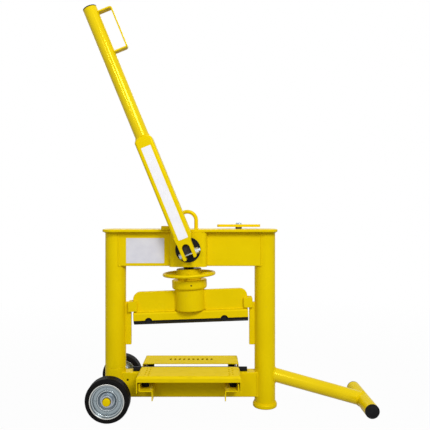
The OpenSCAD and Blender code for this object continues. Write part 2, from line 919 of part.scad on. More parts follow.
module front_bearing() {
    color(black) in_place() translate([shaft_x, 0, shaft_z]) difference() {
        union() {
            rod_y(front_bearing_d, plate_front, housing_face);
            rod_y(bearing_flange_d, plate_front - bearing_flange_t, bearing_flange_t);
        }
        rod_y(journal_d + 2 * run, -plate_w, plate_w);
    }
}

module rear_bearing() {
    flange_d = rear_bearing_d + 2 * rear_flange_w;
    color(black) in_place() translate([shaft_x, 0, shaft_z]) difference() {
        union() {
            rod_y(rear_bearing_d, cavity_half, housing_face);
            rod_y(flange_d, plate_w / 2, bearing_flange_t);
        }
        rod_y(journal_d + 2 * run, 0, plate_w);
    }
}

// Outline of the shaft's flattened end in the lever's frame, down to low under the shaft axis.
module tongue_outline(gap, low) {
    half = flats_w / 2 + gap;
    translate([-half, -low]) square([2 * half, low + notch_top]);
    translate([0, notch_top]) circle(half);
}

module eccentric_shaft() {
    tongue_start = lever_back + room;
    collar_len = cavity_half - pass;
    color(black) difference() {
        in_place() translate([shaft_x, 0, shaft_z]) {
            rod_y(journal_d, tongue_end, shaft_rear - tongue_end);
            rod_y(collar_d, -collar_len, collar_len - yoke_t / 2 - pass);
            rod_y(collar_d, yoke_t / 2 + pass, collar_len - yoke_t / 2 - pass);
            translate([0, 0, cam_e]) rod_y(cam_d, -yoke_t / 2, yoke_t);
        }
        on_lever() {
            along_y(tongue_end - over, tongue_start) difference() {
                circle(journal_d);
                tongue_outline(0, bolt_drop);
            }
            translate([0, lever_mid, -bolt_drop]) rod_x(bolt_d + 2 * seat, -box_w, 2 * box_w);
            rod_y(mark_d, tongue_end - over, mark_d + over);
        }
        in_place() translate([shaft_x, shaft_rear - screw_len - room, shaft_z])
            rod_y(screw_d + 2 * seat, 0, 2 * screw_len);
    }
}

module shaft_retainer() {
    color(zinc) in_place() translate([shaft_x, shaft_rear, shaft_z]) rotate([-90, 0, 0])
        ring(retainer_d, screw_d + 2 * seat, retainer_t);
}

module retainer_screw() {
    color(zinc) in_place() translate([shaft_x, shaft_rear + retainer_t, shaft_z])
        rotate([-90, 0, 0]) {
            translate([0, 0, -screw_len - retainer_t]) cylinder(d = screw_d, h = screw_len + retainer_t);
            hex_head(screw_d * hex_ratio, screw_d * 0.6);
        }
}

// Lever

module lever_fork() {
    neck = notch_top + flats_w / 2 + crown;
    left = box_shift - box_w / 2;
    right = box_shift + box_w / 2;
    color(yellow) on_lever() difference() {
        along_y(lever_back - box_w, lever_back) difference() {
            polygon([
                [-fork_half, -tine_len], [fork_half, -tine_len], [fork_half, neck],
                [right, box_start - fork_side], [right, box_start], [left, box_start],
                [left, box_start - fork_side], [-fork_half, neck]
            ]);
            translate([0, notch_room]) tongue_outline(seat, tine_len + notch_room + over);
        }
        translate([0, lever_mid, -bolt_drop]) rod_x(bolt_d + 2 * seat, -box_w, 2 * box_w);
    }
}

// Trapezium from the box's width to the tube's, for the shoulder.
module shoulder_outline() {
    polygon([
        [-box_w / 2, 0], [box_w / 2, 0], [lever_tube_d / 2, shoulder], [-lever_tube_d / 2, shoulder]
    ]);
}

module lever_box() {
    color(yellow) on_lever() translate([box_shift, lever_mid, 0]) {
        translate([0, 0, box_start]) linear_extrude(box_end - box_start) difference() {
            rounded_rect(box_w, box_w, box_r);
            rounded_rect(box_w - 2 * box_wall, box_w - 2 * box_wall, box_r - box_wall);
        }
        translate([0, 0, box_end]) intersection() {
            linear_extrude(shoulder) rounded_rect(box_w, box_w, box_r);
            along_y(-box_w, box_w) shoulder_outline();
            along_x(-box_w, box_w) shoulder_outline();
        }
    }
}

module lever_tube() {
    start = box_end + shoulder;
    color(yellow) on_lever() translate([box_shift, lever_mid, start])
        tube(lever_tube_d, lever_tube_wall, lever_tube_top - start);
}

module lever_end_cap() {
    color(black) on_lever() translate([box_shift, lever_mid, lever_tube_top])
        tube_cap(lever_tube_d, lever_tube_wall);
}

module grip_handle() {
    bend_r = grip_r - grip_t;
    color(yellow) on_lever() translate([box_shift, 0, 0]) difference() {
        along_y(lever_mid - grip_w / 2, lever_mid + grip_w / 2)
            translate([0, grip_start + grip_len / 2]) difference() {
                rounded_rect(2 * grip_reach, grip_len, grip_r);
                rounded_rect(2 * (grip_reach - grip_t), grip_len - 2 * grip_t, bend_r);
                translate([-2 * grip_reach, -grip_len]) square([2 * grip_reach, 2 * grip_len]);
            }
        translate([0, lever_mid, 0]) cylinder(d = lever_tube_d + 2 * seat, h = lever_len);
    }
}

module fork_bolt() {
    tail = fork_half + bolt_d * 1.6;
    color(zinc) on_lever() translate([0, lever_mid, -bolt_drop]) {
        rod_x(bolt_d, -fork_half, fork_half + tail);
        rod_x(bolt_d * flange_ratio, -fork_half - bolt_flange_t, bolt_flange_t);
        translate([-fork_half - bolt_flange_t, 0, 0]) rotate([0, -90, 0])
            hex_head(bolt_d * hex_ratio, bolt_d * 0.65);
    }
}

module fork_nut() {
    color(zinc) on_lever() translate([fork_half, lever_mid, -bolt_drop]) rotate([0, 90, 0])
        difference() {
            union() {
                cylinder(d = bolt_d * flange_ratio, h = bolt_flange_t);
                translate([0, 0, bolt_flange_t]) hex_head(bolt_d * hex_ratio, bolt_d * 0.8);
            }
            translate([0, 0, -over]) cylinder(d = bolt_d + 2 * seat, h = 2 * bolt_d);
        }
}

// Yoke, pin and spindle

module shaft_yoke() {
    cheek_in = eye_t / 2 + pass;
    color(zinc) in_place() translate([shaft_x, 0, shaft_z]) difference() {
        union() {
            translate([-yoke_w / 2, -yoke_t / 2, yoke_floor])
                cube([yoke_w, yoke_t, yoke_top - yoke_floor]);
            translate([-cheek_r, -yoke_t / 2, -pin_drop])
                cube([2 * cheek_r, yoke_t, pin_drop + yoke_floor]);
            translate([0, 0, -pin_drop]) rod_y(2 * cheek_r, -yoke_t / 2, yoke_t);
        }
        translate([-cam_d / 2 - pass, -yoke_t, slot_low])
            cube([cam_d + cam_e + 2 * pass, 2 * yoke_t, slot_high - slot_low]);
        translate([-yoke_w, -cheek_in, -pin_drop - 2 * cheek_r])
            cube([2 * yoke_w, 2 * cheek_in, 2 * cheek_r + eye_r + room]);
        translate([0, 0, -pin_drop]) rod_y(pin_d + 2 * seat, -yoke_t, 2 * yoke_t);
    }
}

module pivot_pin() {
    color(zinc) in_place() translate([shaft_x, 0, pin_z]) rod_y(pin_d, -yoke_t / 2, yoke_t);
}

module spindle() {
    neck = eye_r + spindle_neck;
    color(black) on_spindle() difference() {
        union() {
            rod_y(2 * eye_r, -eye_t / 2, eye_t);
            translate([-eye_r, -eye_t / 2, -neck]) cube([2 * eye_r, eye_t, neck]);
            translate([0, 0, -spindle_len]) cylinder(d = spindle_d, h = spindle_len - neck);
        }
        rod_y(pin_d + 2 * run, -eye_t, 2 * eye_t);
    }
}

// Height adjuster

module adjuster_hub() {
    color(yellow) on_spindle() difference() {
        union() {
            translate([0, 0, hub_low]) cylinder(d = hub_d, h = hub_top - hub_low);
            translate([0, 0, collar_top]) cylinder(d = neck_d, h = hub_top - collar_top);
            translate([0, 0, collar_top - hub_collar_t]) cylinder(d = hub_collar_d, h = hub_collar_t);
            translate([0, 0, collar_top - hub_collar_t - nut_len]) cylinder(d = nut_d, h = nut_len);
        }
        translate([0, 0, -spindle_len * 2]) cylinder(d = spindle_d + 2 * run, h = spindle_len * 2);
    }
}

module hand_ring() {
    mean_r = (ring_d - ring_bar) / 2;
    color(yellow) on_spindle() translate([0, 0, hub_top - ring_drop]) difference() {
        union() {
            rotate_extrude() translate([mean_r, 0]) circle(d = ring_bar);
            rod_x(spoke_d, -mean_r, 2 * mean_r);
            rod_y(spoke_d, -mean_r, 2 * mean_r);
        }
        translate([0, 0, -ring_bar]) cylinder(d = hub_d + 2 * seat, h = 2 * ring_bar);
    }
}

// Upper blade and its carrier

module on_screw() {
    translate([0, 0, screw_z]) rotate([0, 0, screw_turn]) children();
}

module socket_cap() {
    skirt_r = socket_d / 2 + seat;
    color(yellow) on_spindle() difference() {
        translate([0, 0, cap_low]) rotate_extrude() difference() {
            union() {
                square([cap_d / 2 - cap_r, cap_h]);
                translate([0, cap_r]) square([cap_d / 2, cap_h - cap_r]);
                translate([cap_d / 2 - cap_r, cap_r]) circle(cap_r);
            }
            translate([0, -over]) square([skirt_r, cap_h - cap_top + over]);
            square([neck_d / 2 + pass, cap_h + over]);
        }
        on_screw() rod_y(set_screw_d + 2 * seat, -cap_d, cap_d);
    }
}

module cap_screw() {
    color(black) on_spindle() on_screw() difference() {
        rod_y(set_screw_d, screw_sink - cap_d / 2, (cap_d - socket_d) / 2);
        rod_y(set_screw_d / 2, -cap_d / 2, screw_sink + set_screw_d / 2);
    }
}

module socket_tube() {
    floor_t = socket_wall;
    color(yellow) on_spindle() difference() {
        translate([0, 0, socket_low]) cylinder(d = socket_d, h = socket_len);
        translate([0, 0, socket_low + floor_t])
            cylinder(d = socket_d - 2 * socket_wall, h = socket_len);
        on_screw() rod_y(set_screw_d + 2 * seat, -cap_d, cap_d);
    }
}

module thrust_washer() {
    color(zinc) on_spindle() translate([0, 0, socket_top])
        ring(hub_collar_d, nut_d + 2 * pass, washer_t);
}

module carrier_plate() {
    half_t = carrier_t / 2;
    corner_h = carrier_top - blade_top;
    color(yellow) on_spindle() difference() {
        union() {
            along_y(-half_t, half_t) translate([blade_shift, blade_top])
                for (x = [0, 1]) mirror([x, 0]) corner_rect(blade_half, corner_h, carrier_r);
            translate([blade_shift - blade_half, -tongue_t / 2, tongue_low])
                cube([2 * blade_half, tongue_t, blade_top - tongue_low]);
        }
        translate([0, 0, socket_low]) cylinder(d = socket_d + 2 * seat, h = 2 * socket_len);
        blade_bolt_holes();
    }
}

module blade_bolt_holes() {
    for (side = [-1, 1]) translate([blade_bolt_shift + side * blade_bolt_pitch / 2, 0, blade_bolt_z])
        rod_y(blade_bolt_d + 2 * seat, -blade_t, blade_t + tongue_t / 2 + bolt_grip + room);
}

module holder_bar() {
    half_t = carrier_t / 2;
    difference() {
        along_x(blade_shift - blade_half, blade_shift + blade_half) translate([half_t, holder_low])
            corner_rect(holder_t, holder_h, holder_r);
        translate([blade_shift - blade_half - over, -over, holder_low - over])
            cube([2 * blade_half + 2 * over, blade_t / 2 + seat + over, blade_in + over]);
        for (side = [-1, 1])
            translate([blade_bolt_shift + side * blade_bolt_pitch / 2, 0, blade_bolt_z])
                rod_y(2 * notch_r, 0, carrier_t + holder_t);
    }
}

module blade_holder() {
    color(yellow) on_spindle() for (y = [0, 1]) mirror([0, y, 0]) holder_bar();
}

module upper_blade() {
    shoulder_z = blade_edge + blade_out / 2;
    groove = tongue_t / 2 + seat;
    groove_z = tongue_low - seat;
    color(black) on_spindle() difference() {
        along_x(blade_shift - blade_half, blade_shift + blade_half) polygon([
            [-blade_t / 2, blade_top], [-blade_t / 2, shoulder_z], [-edge_w / 2, blade_edge],
            [edge_w / 2, blade_edge], [blade_t / 2, shoulder_z], [blade_t / 2, blade_top],
            [groove, blade_top], [groove, groove_z], [-groove, groove_z], [-groove, blade_top]
        ]);
        blade_bolt_holes();
    }
}

module blade_bolts() {
    head_h = blade_bolt_d * 0.6;
    color(black) on_spindle() for (side = [-1, 1])
        translate([blade_bolt_shift + side * blade_bolt_pitch / 2, 0, blade_bolt_z]) {
            rod_y(blade_bolt_d, -blade_t / 2, (blade_t + tongue_t) / 2 + bolt_grip);
            translate([0, -blade_t / 2, 0]) rotate([90, 0, 0])
                hex_head(blade_bolt_d * hex_ratio, head_h);
        }
}

module guide_lugs() {
    color(yellow) on_spindle() translate([blade_shift, 0, 0])
        for (x = [0, 1], y = [0, 1]) mirror([x, 0, 0]) mirror([0, y, 0])
            translate([blade_half - lug_in, carrier_t / 2, lug_low])
                cube([lug_in + lug_over, lug_t, lug_h]);
}

top_plate();
left_column();
right_column();
axle_post();
left_cross_beam();
right_cross_beam();
shaft_housing();
base_beam();
right_foot();
left_guide_rail();
right_guide_rail();
lower_blade();
table_brackets();
front_buffers();
rear_buffers();
stabiliser_tube();
foot_cross_tube();
foot_end_caps();
lifting_loop();
lever_stop();
swivel_spacer();
swivel_bolt();
swivel_bar();
front_bearing();
rear_bearing();
wheel_axle();
axle_caps();
front_tyre();
front_rim();
front_wheel_bush();
rear_tyre();
rear_rim();
rear_wheel_bush();
front_table();
rear_table();
eccentric_shaft();
shaft_retainer();
retainer_screw();
lever_fork();
lever_box();
lever_tube();
lever_end_cap();
grip_handle();
fork_bolt();
fork_nut();
shaft_yoke();
pivot_pin();
spindle();
adjuster_hub();
hand_ring();
socket_cap();
cap_screw();
socket_tube();
thrust_washer();
carrier_plate();
blade_holder();
upper_blade();
blade_bolts();
guide_lugs();
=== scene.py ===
import math
import bmesh
import bpy
import numpy as np
from mathutils import Matrix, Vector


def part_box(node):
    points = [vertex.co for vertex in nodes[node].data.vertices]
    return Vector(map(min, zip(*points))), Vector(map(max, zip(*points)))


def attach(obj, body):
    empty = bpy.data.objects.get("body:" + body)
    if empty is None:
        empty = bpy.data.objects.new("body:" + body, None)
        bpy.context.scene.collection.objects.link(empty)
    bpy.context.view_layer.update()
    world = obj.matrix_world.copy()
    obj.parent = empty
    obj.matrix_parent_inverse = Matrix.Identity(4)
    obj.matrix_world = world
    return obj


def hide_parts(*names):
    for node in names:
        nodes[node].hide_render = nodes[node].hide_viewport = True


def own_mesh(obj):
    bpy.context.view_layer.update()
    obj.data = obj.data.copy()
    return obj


# Stone splitter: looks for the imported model. Shapes are worked out in millimetres with X = 0 half-way
# between the columns, and go into the meshes in metres in the frame's own place.
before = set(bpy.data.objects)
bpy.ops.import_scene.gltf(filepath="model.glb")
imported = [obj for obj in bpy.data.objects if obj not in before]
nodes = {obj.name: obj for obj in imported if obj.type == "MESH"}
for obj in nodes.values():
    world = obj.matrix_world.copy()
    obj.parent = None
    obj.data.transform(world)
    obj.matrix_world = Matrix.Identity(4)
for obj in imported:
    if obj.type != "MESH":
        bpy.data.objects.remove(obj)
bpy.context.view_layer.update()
millimetre = 0.001
midX = (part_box("left_column")[0].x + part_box("right_column")[1].x) / 2
xAxis, yAxis, zAxis = np.eye(3)
print("frame loaded:", len(nodes), "nodes")


# Shader sums

class Link:
    # a socket that takes part in sums: a + b and a * 0.5 each add a Math node
    def __init__(self, finish, socket):
        self.finish = finish
        self.socket = socket

    def math(self, operation, first, second):
        return self.finish.add("ShaderNodeMath", {"operation": operation}, {0: first, 1: second})

    def __add__(self, other):
        return self.math("ADD", self, other)

    def __mul__(self, other):
        return self.math("MULTIPLY", self, other)

    __radd__ = __add__
    __rmul__ = __mul__


class Patch:
    # the nodes of a material or a world
    def __init__(self, owner):
        owner.use_nodes = True
        self.tree = owner.node_tree

    def add(self, kind, settings=None, inputs=None, output=0):
        node = self.tree.nodes.new(kind)
        for key, value in (settings or {}).items():
            if key == "stops":
                ramp = node.color_ramp.elements
                for position, colour in value[len(ramp):]:
                    ramp.new(position)
                for stop, (position, colour) in zip(ramp, value):
                    stop.position = position
                    stop.color = colour
            else:
                setattr(node, key, value)
        for key, value in (inputs or {}).items():
            if isinstance(value, Link):
                self.tree.links.new(value.socket, node.inputs[key])
            else:
                node.inputs[key].default_value = value
        return Link(self, node.outputs[output])

    def seenDirectly(self):
        # 1 where the camera, a mirror-like surface or glass looks straight at it, else 0
        total = self.add("ShaderNodeLightPath", output="Is Camera Ray")
        for other in ("Is Glossy Ray", "Is Transmission Ray"):
            ray = self.add("ShaderNodeLightPath", output=other)
            total = self.add("ShaderNodeMath", {"operation": "MAXIMUM"}, {0: total, 1: ray})
        return total

    def show(self, output, factor, first, second):
        # the output shows a mix of two shaders
        mixed = self.add("ShaderNodeMixShader", None, {0: factor, 1: first, 2: second})
        self.tree.links.new(mixed.socket, self.tree.nodes[output].inputs["Surface"])


class Finish(Patch):
    # a material: fixed values go on the shader's own sockets, patterns are fed in afterwards
    def __init__(self, name, **fixed):
        self.material = bpy.data.materials.new(name)
        super().__init__(self.material)
        self.shader = self.tree.nodes["Principled BSDF"]
        for socket, value in fixed.items():
            self.shader.inputs[socket.replace("_", " ")].default_value = value
        self.place = self.add("ShaderNodeTexCoord", output="Object")

    def noise(self, scale, detail, stretch=None):
        place = self.place
        if stretch:
            place = self.add("ShaderNodeMapping", None, {"Vector": place, "Scale": stretch})
        return self.add("ShaderNodeTexNoise", None, {"Vector": place, "Scale": scale, "Detail": detail})

    def peel(self):
        # orange peel of a powder coat
        return self.noise(420.0, 1.0) * 0.12 + self.noise(45.0, 1.0)

    def crystals(self):
        # tone of the small crystal patches of zinc
        colour = self.add("ShaderNodeTexVoronoi", None, {"Vector": self.place, "Scale": 160.0}, "Color")
        return self.add("ShaderNodeSeparateColor", None, {0: colour})

    def remap(self, value, fromLow, fromHigh, low=0.0, high=1.0):
        return self.add("ShaderNodeMapRange", {"clamp": True},
                        {0: value, 1: fromLow, 2: fromHigh, 3: low, 4: high})

    def mixColour(self, factor, first, second):
        return self.add("ShaderNodeMix", {"data_type": "RGBA"}, {0: factor, 6: first, 7: second}, 2)

    def coat(self, share, first, second, rough, height, depth):
        # feeds the shader: a share of the second colour in the first, roughness, relief
        bump = self.add("ShaderNodeBump", None, {"Strength": 1.0, "Distance": depth, "Height": height})
        for socket, link in (("Base Color", self.mixColour(share, first, second)), ("Roughness", rough),
                             ("Normal", bump)):
            self.tree.links.new(link.socket, self.shader.inputs[socket])
        return self.material


def srgb(red, green, blue):
    value = np.array([red, green, blue]) / 255
    linear = np.where(value <= 0.04045, value / 12.92, ((value + 0.055) / 1.055) ** 2.4)
    return (*linear.tolist(), 1.0)


# the coat's gloss: a small share of the metallic lobe, the same at all angles, so edges keep their colour
gloss = {"Metallic": 0.05, "Specular_IOR_Level": 0.02}
tubeGloss = {"Metallic": 0.1, "Specular_IOR_Level": 0.1}


def makePaint(name, shine, rough, patchy, depth):
    # glossy powder coat: faint cloudiness, orange peel and a little dust
    look = {"colour": srgb(238, 209, 5), "deep": srgb(232, 202, 2), "dust": srgb(214, 188, 40)}
    paint = Finish(name, **shine)
    cloud = paint.noise(9.0, 3.0)
    tint = paint.mixColour(paint.remap(cloud, 0.35, 0.7), look["colour"], look["deep"])
    speck = paint.remap(paint.noise(60.0, 5.0), 0.62, 0.8, high=0.3)
    dull = rough + (cloud * 0.08 + speck * 0.3) * patchy
    return paint.coat(speck, tint, look["dust"], dull, paint.peel(), depth)


def makeTablePaint(name, colour, wornColour):
    # the same coat where stones slide over it: fine scuffs along the table and duller patches
    paint = Finish(name, **gloss)
    scuff = paint.noise(70.0, 6.0, (0.35, 2.0, 1.0))
    worn = paint.remap(scuff, 0.55, 0.78, high=0.55)
    return paint.coat(worn, colour, wornColour, 0.5 + worn * 0.3, paint.peel(), 0.00012)


def makeZinc():
    # bright zinc: small crystal patches that differ in tone, and a blue cast
    look = {"pale": srgb(208, 214, 220), "blue": srgb(158, 172, 184)}
    zinc = Finish("zincPlate", Metallic=1.0)
    cloud = zinc.noise(28.0, 4.0)
    patch = zinc.remap(zinc.crystals() * 0.35 + cloud, 0.45, 0.95)
    return zinc.coat(patch, look["blue"], look["pale"], 0.24 + patch * 0.2, cloud, 0.0002)


def makeRimWithPaintedShade():
    # pressed wheel rim: the tone follows the distance r from the axle and is painted shade and painted
    # reflection for the way
    # each step of the pressing turns: a pale lip as painted reflection, dark walls as painted shade,
    # middling flats; crystals and clouds break it up
    paintedShadeAndReflectionTones = ((15, srgb(180, 178, 185)), (20, srgb(166, 173, 179)), (25.5, srgb(148, 159, 165)),
             (31, srgb(158, 168, 173)), (33, srgb(200, 206, 208)), (35.5, srgb(160, 169, 172)),
             (37, srgb(112, 124, 130)), (41, srgb(150, 161, 165)), (45, srgb(136, 148, 153)),
             (48.6, srgb(108, 120, 126)), (50.4, srgb(192, 198, 199)), (52.5, srgb(158, 168, 172)),
             (54.6, srgb(88, 98, 102)), (56.6, srgb(176, 177, 172)), (58, srgb(218, 216, 208)))
    reach = 64.0
    rim = Finish("rimZinc", Metallic=1.0)
    flat = rim.add("ShaderNodeMapping", None, {"Vector": rim.place, "Scale": (1, 0, 1),
                                               "Location": (-midX - wheel["x"] * millimetre, 0,
                                                            -wheel["z"] * millimetre)})
    away = rim.add("ShaderNodeVectorMath", {"operation": "LENGTH"}, {0: flat}, "Value")
    # painted shade and painted reflection: a colour ramp by distance from the axle
    paintedShadeAndReflectionTone = rim.add("ShaderNodeValToRGB", {"stops": [(r / reach, colour) for r, colour in paintedShadeAndReflectionTones]},
                   {0: away * (1 / (reach * millimetre))})
    cloud = rim.noise(28.0, 4.0)
    share = rim.remap(rim.crystals() * 0.3 + cloud, 0.4, 0.9, high=0.4)
    return rim.coat(share, paintedShadeAndReflectionTone, srgb(158, 168, 174), 0.24 + share * 0.3, cloud, 0.0002)


def makeSteel(name, light, dark, scale, metal, rough, stretch, shine=0.5):
    # turned or rolled steel: streaks along one direction in tone, gloss and height
    steel = Finish(name, Metallic=metal, Specular_IOR_Level=shine)
    streak = steel.noise(scale, 4.0, stretch)
    share = steel.remap(streak * 0.6 + steel.noise(30.0, 3.0) * 0.4, 0.35, 0.65)
    return steel.coat(share, dark, light, rough + share * 0.16, streak, 0.00008)


def makeRubber(name, light, dark, grain, rough):
    # moulded black: fine grain, dust that dulls it in patches
    rubber = Finish(name, Specular_IOR_Level=0.06)
    cloud = rubber.noise(38.0, 5.0)
    dust = rubber.remap(cloud, 0.42, 0.72)
    grit = rubber.noise(grain, 2.0) * 0.5 + cloud * 0.5
    return rubber.coat(dust, dark, light, rough + dust * 0.18, grit, 0.00025)


def makeLabel(name, colour, shade):
    # blank film label: satin, a little uneven where it lies over the paint
    label = Finish(name, Specular_IOR_Level=0.4)
    cloud = label.noise(24.0, 3.0)
    return label.coat(label.remap(cloud, 0.35, 0.7), colour, shade, 0.34 + cloud * 0.12,
                      label.noise(120.0, 2.0), 0.00005)


yellowPaint = makePaint("yellowPaint", gloss, 0.24, 1.0, 0.00012)
tubePaint = makePaint("tubePaint", tubeGloss, 0.14, 0.1, 0.00001)
tablePaint = makeTablePaint("tablePaint", srgb(236, 207, 8), srgb(203, 174, 20))
# the nubs' coat is darker than the table's: painted shade, so the small domes show as dark marks
nubPaint = makeTablePaint("nubPaint", srgb(205, 174, 10), srgb(168, 140, 24))
zincPlate = makeZinc()
blackSteel = makeSteel("blackSteel", srgb(24, 24, 25), srgb(10, 10, 11), 90.0, 0.0, 0.42,
                       (0.2, 1.0, 1.0), 0.12)
blackOxide = makeSteel("blackOxide", srgb(30, 29, 31), srgb(13, 13, 14), 160.0, 0.2, 0.36,
                       (1.0, 0.25, 1.0), 0.15)
machinedSteel = makeSteel("machinedSteel", srgb(178, 176, 178), srgb(130, 129, 133), 220.0, 1.0, 0.24,
                          (1.0, 0.2, 1.0))
darkSpacer = makeSteel("darkSpacer", srgb(92, 82, 70), srgb(52, 46, 40), 120.0, 0.3, 0.5, (1.0, 1.0, 1.0))
tyreRubber = makeRubber("tyreRubber", srgb(22, 20, 20), srgb(10, 9, 9), 700.0, 0.5)
bufferRubber = makeRubber("bufferRubber", srgb(44, 42, 41), srgb(24, 23, 23), 500.0, 0.55)
blackPlastic = makeRubber("blackPlastic", srgb(34, 34, 36), srgb(22, 22, 24), 900.0, 0.36)
leverLabel = makeLabel("leverLabel", srgb(250, 249, 252), srgb(243, 242, 247))
beamLabel = makeLabel("beamLabel", srgb(226, 226, 234), srgb(216, 216, 227))
shaftSteel = makeSteel("shaftSteel", srgb(60, 56, 56), srgb(36, 33, 34), 160.0, 0.2, 0.42,
                       (1.0, 0.25, 1.0), 0.15)
print("finishes made:", len(bpy.data.materials))


# Shapes

def frameAlong(origin, axis, side=xAxis):
    # rows are the local x, y and z axes: z along axis, x as near to side as it can be
    along = np.array(axis, float) / np.linalg.norm(axis)
    across = np.array(side, float) - np.dot(side, along) * along
    across /= np.linalg.norm(across)
    return np.array(origin, float), np.array([across, np.cross(along, across), along])


def put(points, where):
    return where[0] + points @ where[1]


def lifted(where, distance):
    # the same frame, further along its z axis
    return where[0] + distance * where[1][2], where[1]


def tilted(degrees):
    # unit steps across and along a line that leans to the left of upright by that angle
    lean = math.radians(degrees)
    across = np.array([math.cos(lean), 0, math.sin(lean)])
    return across, np.cross(across, yAxis)


def arc(radius, start, end, count):
    angle = np.linspace(start, end, count)
    return radius * np.stack([np.cos(angle), np.sin(angle)], -1)


def circle(radius, count):
    return arc(radius, 0, 2 * np.pi, count + 1)[:-1]


def pointsOf(part, *pairs):
    # each pair of words names the two measures of a corner: "bore top" is (part["bore"], part["top"])
    return [[part[word] for word in pair.split()] for pair in pairs]


def rounded(corners, radii, steps=6):
    # each corner becomes an arc that touches both its sides: the centre lies on the bisector,
    # radius / sin(half angle) from the corner
    corner = np.array(corners, float)
    radius = np.broadcast_to(np.array(radii, float), len(corner))[:, None]
    back = np.roll(corner, 1, 0) - corner
    ahead = np.roll(corner, -1, 0) - corner
    back /= np.linalg.norm(back, axis=1, keepdims=True)
    ahead /= np.linalg.norm(ahead, axis=1, keepdims=True)
    half = np.arccos(np.clip((back * ahead).sum(1, keepdims=True), -1, 1)) / 2
    bisector = (back + ahead) / np.linalg.norm(back + ahead, axis=1, keepdims=True)
    centre = corner + bisector * radius / np.sin(half)
    first = corner + back * radius / np.tan(half) - centre
    last = corner + ahead * radius / np.tan(half) - centre
    turn = np.pi - 2 * half
    share = np.linspace(0, 1, steps + 1)
    fade = np.sin((1 - share) * turn) / np.sin(turn)
    rise = np.sin(share * turn) / np.sin(turn)
    points = centre[:, None] + fade[..., None] * first[:, None] + rise[..., None] * last[:, None]
    points = points.reshape(-1, 2)
    gap = np.linalg.norm(points - np.roll(points, 1, 0), axis=1)
    return points[gap > 1e-6]


def rectangle(x0, y0, x1, y1, radius, steps=6):
    return rounded([(x0, y0), (x1, y0), (x1, y1), (x0, y1)], radius, steps)


def skin(rows, wrap=False):
    # quads between neighbouring rows of a grid of points; wrap joins the last row to the first,
    # otherwise one face closes each end
    count, width = rows.shape[:2]
    index = np.arange(count * width).reshape(count, width)
    ends = [] if wrap else [index[0][::-1].tolist(), index[-1].tolist()]
    if wrap:
        index = np.vstack([index, index[:1]])
    low, high = index[:-1], index[1:]
    quads = np.stack([low, np.roll(low, -1, 1), np.roll(high, -1, 1), high], -1).reshape(-1, 4)
    return rows.reshape(-1, 3), quads, ends


def turned(radius, height, sides):
    # x = r cos a, y = r sin a, z = h at equal steps of the angle a
    angle = np.linspace(0, 2 * np.pi, sides, endpoint=False)
    return np.stack([radius * np.cos(angle), radius * np.sin(angle), height + 0 * angle], -1)


def lathe(profile, where, sides=96, solid=False):
    # the points (r, h) of a profile turned about the axis
    profile = np.array(profile, float)
    return skin(put(turned(profile[:, :1], profile[:, 1:], sides), where), wrap=not solid)


def pipe(outer, inner, low, high, where, edge=1.0, sides=96):
    # ring section r from inner to outer, h from low to high, edges rounded, turned about the axis
    return lathe(rectangle(inner, low, outer, high, edge, 3), where, sides)


def rod(radius, low, high, where, edges=(0.8, 0.8), core=0.3, sides=72, steps=3):
    # turned solid: h from low to high, r out to the radius, both rims rounded; core keeps the pole open
    line = rounded([(core, low), (radius, low), (radius, high), (core, high)], [0, *edges, 0], steps)
    return lathe(line, where, sides, solid=True)


def mitre(outline):
    # step that moves each point inwards by 1 from both its sides: (n1 + n2) / (1 + n1 . n2)
    ahead = np.roll(outline, -1, 0) - outline
    ahead /= np.linalg.norm(ahead, axis=1, keepdims=True)
    normal = np.stack([-ahead[:, 1], ahead[:, 0]], 1)
    before = np.roll(normal, 1, 0)
    return (normal + before) / (1 + (normal * before).sum(1, keepdims=True))


def prism(outline, low, high, edge, where, steps=3):
    # an outline (x, y) carried from z = low to high; the rim follows a quarter circle of radius edge
    line = np.array(outline, float)
    after = np.roll(line, -1, 0)
    if (line[:, 0] * after[:, 1] - line[:, 1] * after[:, 0]).sum() < 0:
        line = line[::-1]
        edge = edge[::-1] if isinstance(edge, np.ndarray) else edge
    angle = np.linspace(0, np.pi / 2, steps + 1)[:, None]
    inwards = edge * (1 - np.sin(angle)) + 0 * line[:, 0]
    height = edge * (1 - np.cos(angle)) + 0 * line[:, 0]
    ring = line + mitre(line) * inwards[..., None]
    bottom = np.concatenate([ring, (low + height)[..., None]], -1)
    top = np.concatenate([ring, (high - height)[..., None]], -1)[::-1]
    return skin(put(np.concatenate([bottom, top]), where))


def tunnel(outer, inner, first, last, axis):
    # two outlines (a, b) of equal length carried between the surfaces first(a, b) and last(a, b):
    # out along the outer one and back along the inner one; axis "x" or "z" is the carried direction
    share = np.linspace(0, 1, 9)[:, None]
    rows = []
    for line, order in ((outer, 1), (inner, -1)):
        start, end = first(line), last(line)
        along = (start + (end - start) * share)[::order]
        flat = np.broadcast_to(line, (*along.shape, 2))
        if axis == "x":
            rows.append(np.concatenate([along[..., None], flat], -1))
        else:
            rows.append(np.concatenate([flat, along[..., None]], -1))
    return skin(np.concatenate(rows), wrap=True)


def sweep(path, section, upright, wrap=False):
    # a section (a, b) carried along a path: a runs across it, b along upright made square to it
    path = np.array(path, float)
    if wrap:
        ahead = np.roll(path, -1, 0) - np.roll(path, 1, 0)
    else:
        ahead = np.gradient(path, axis=0)
    ahead /= np.linalg.norm(ahead, axis=1, keepdims=True)
    across = np.cross(ahead, np.broadcast_to(upright, path.shape))
    across /= np.linalg.norm(across, axis=1, keepdims=True)
    rise = np.cross(across, ahead)
    section = np.broadcast_to(section, (len(path), *np.shape(section)[-2:]))
    rows = path[:, None] + across[:, None] * section[..., :1] + rise[:, None] * section[..., 1:]
    return skin(rows, wrap)


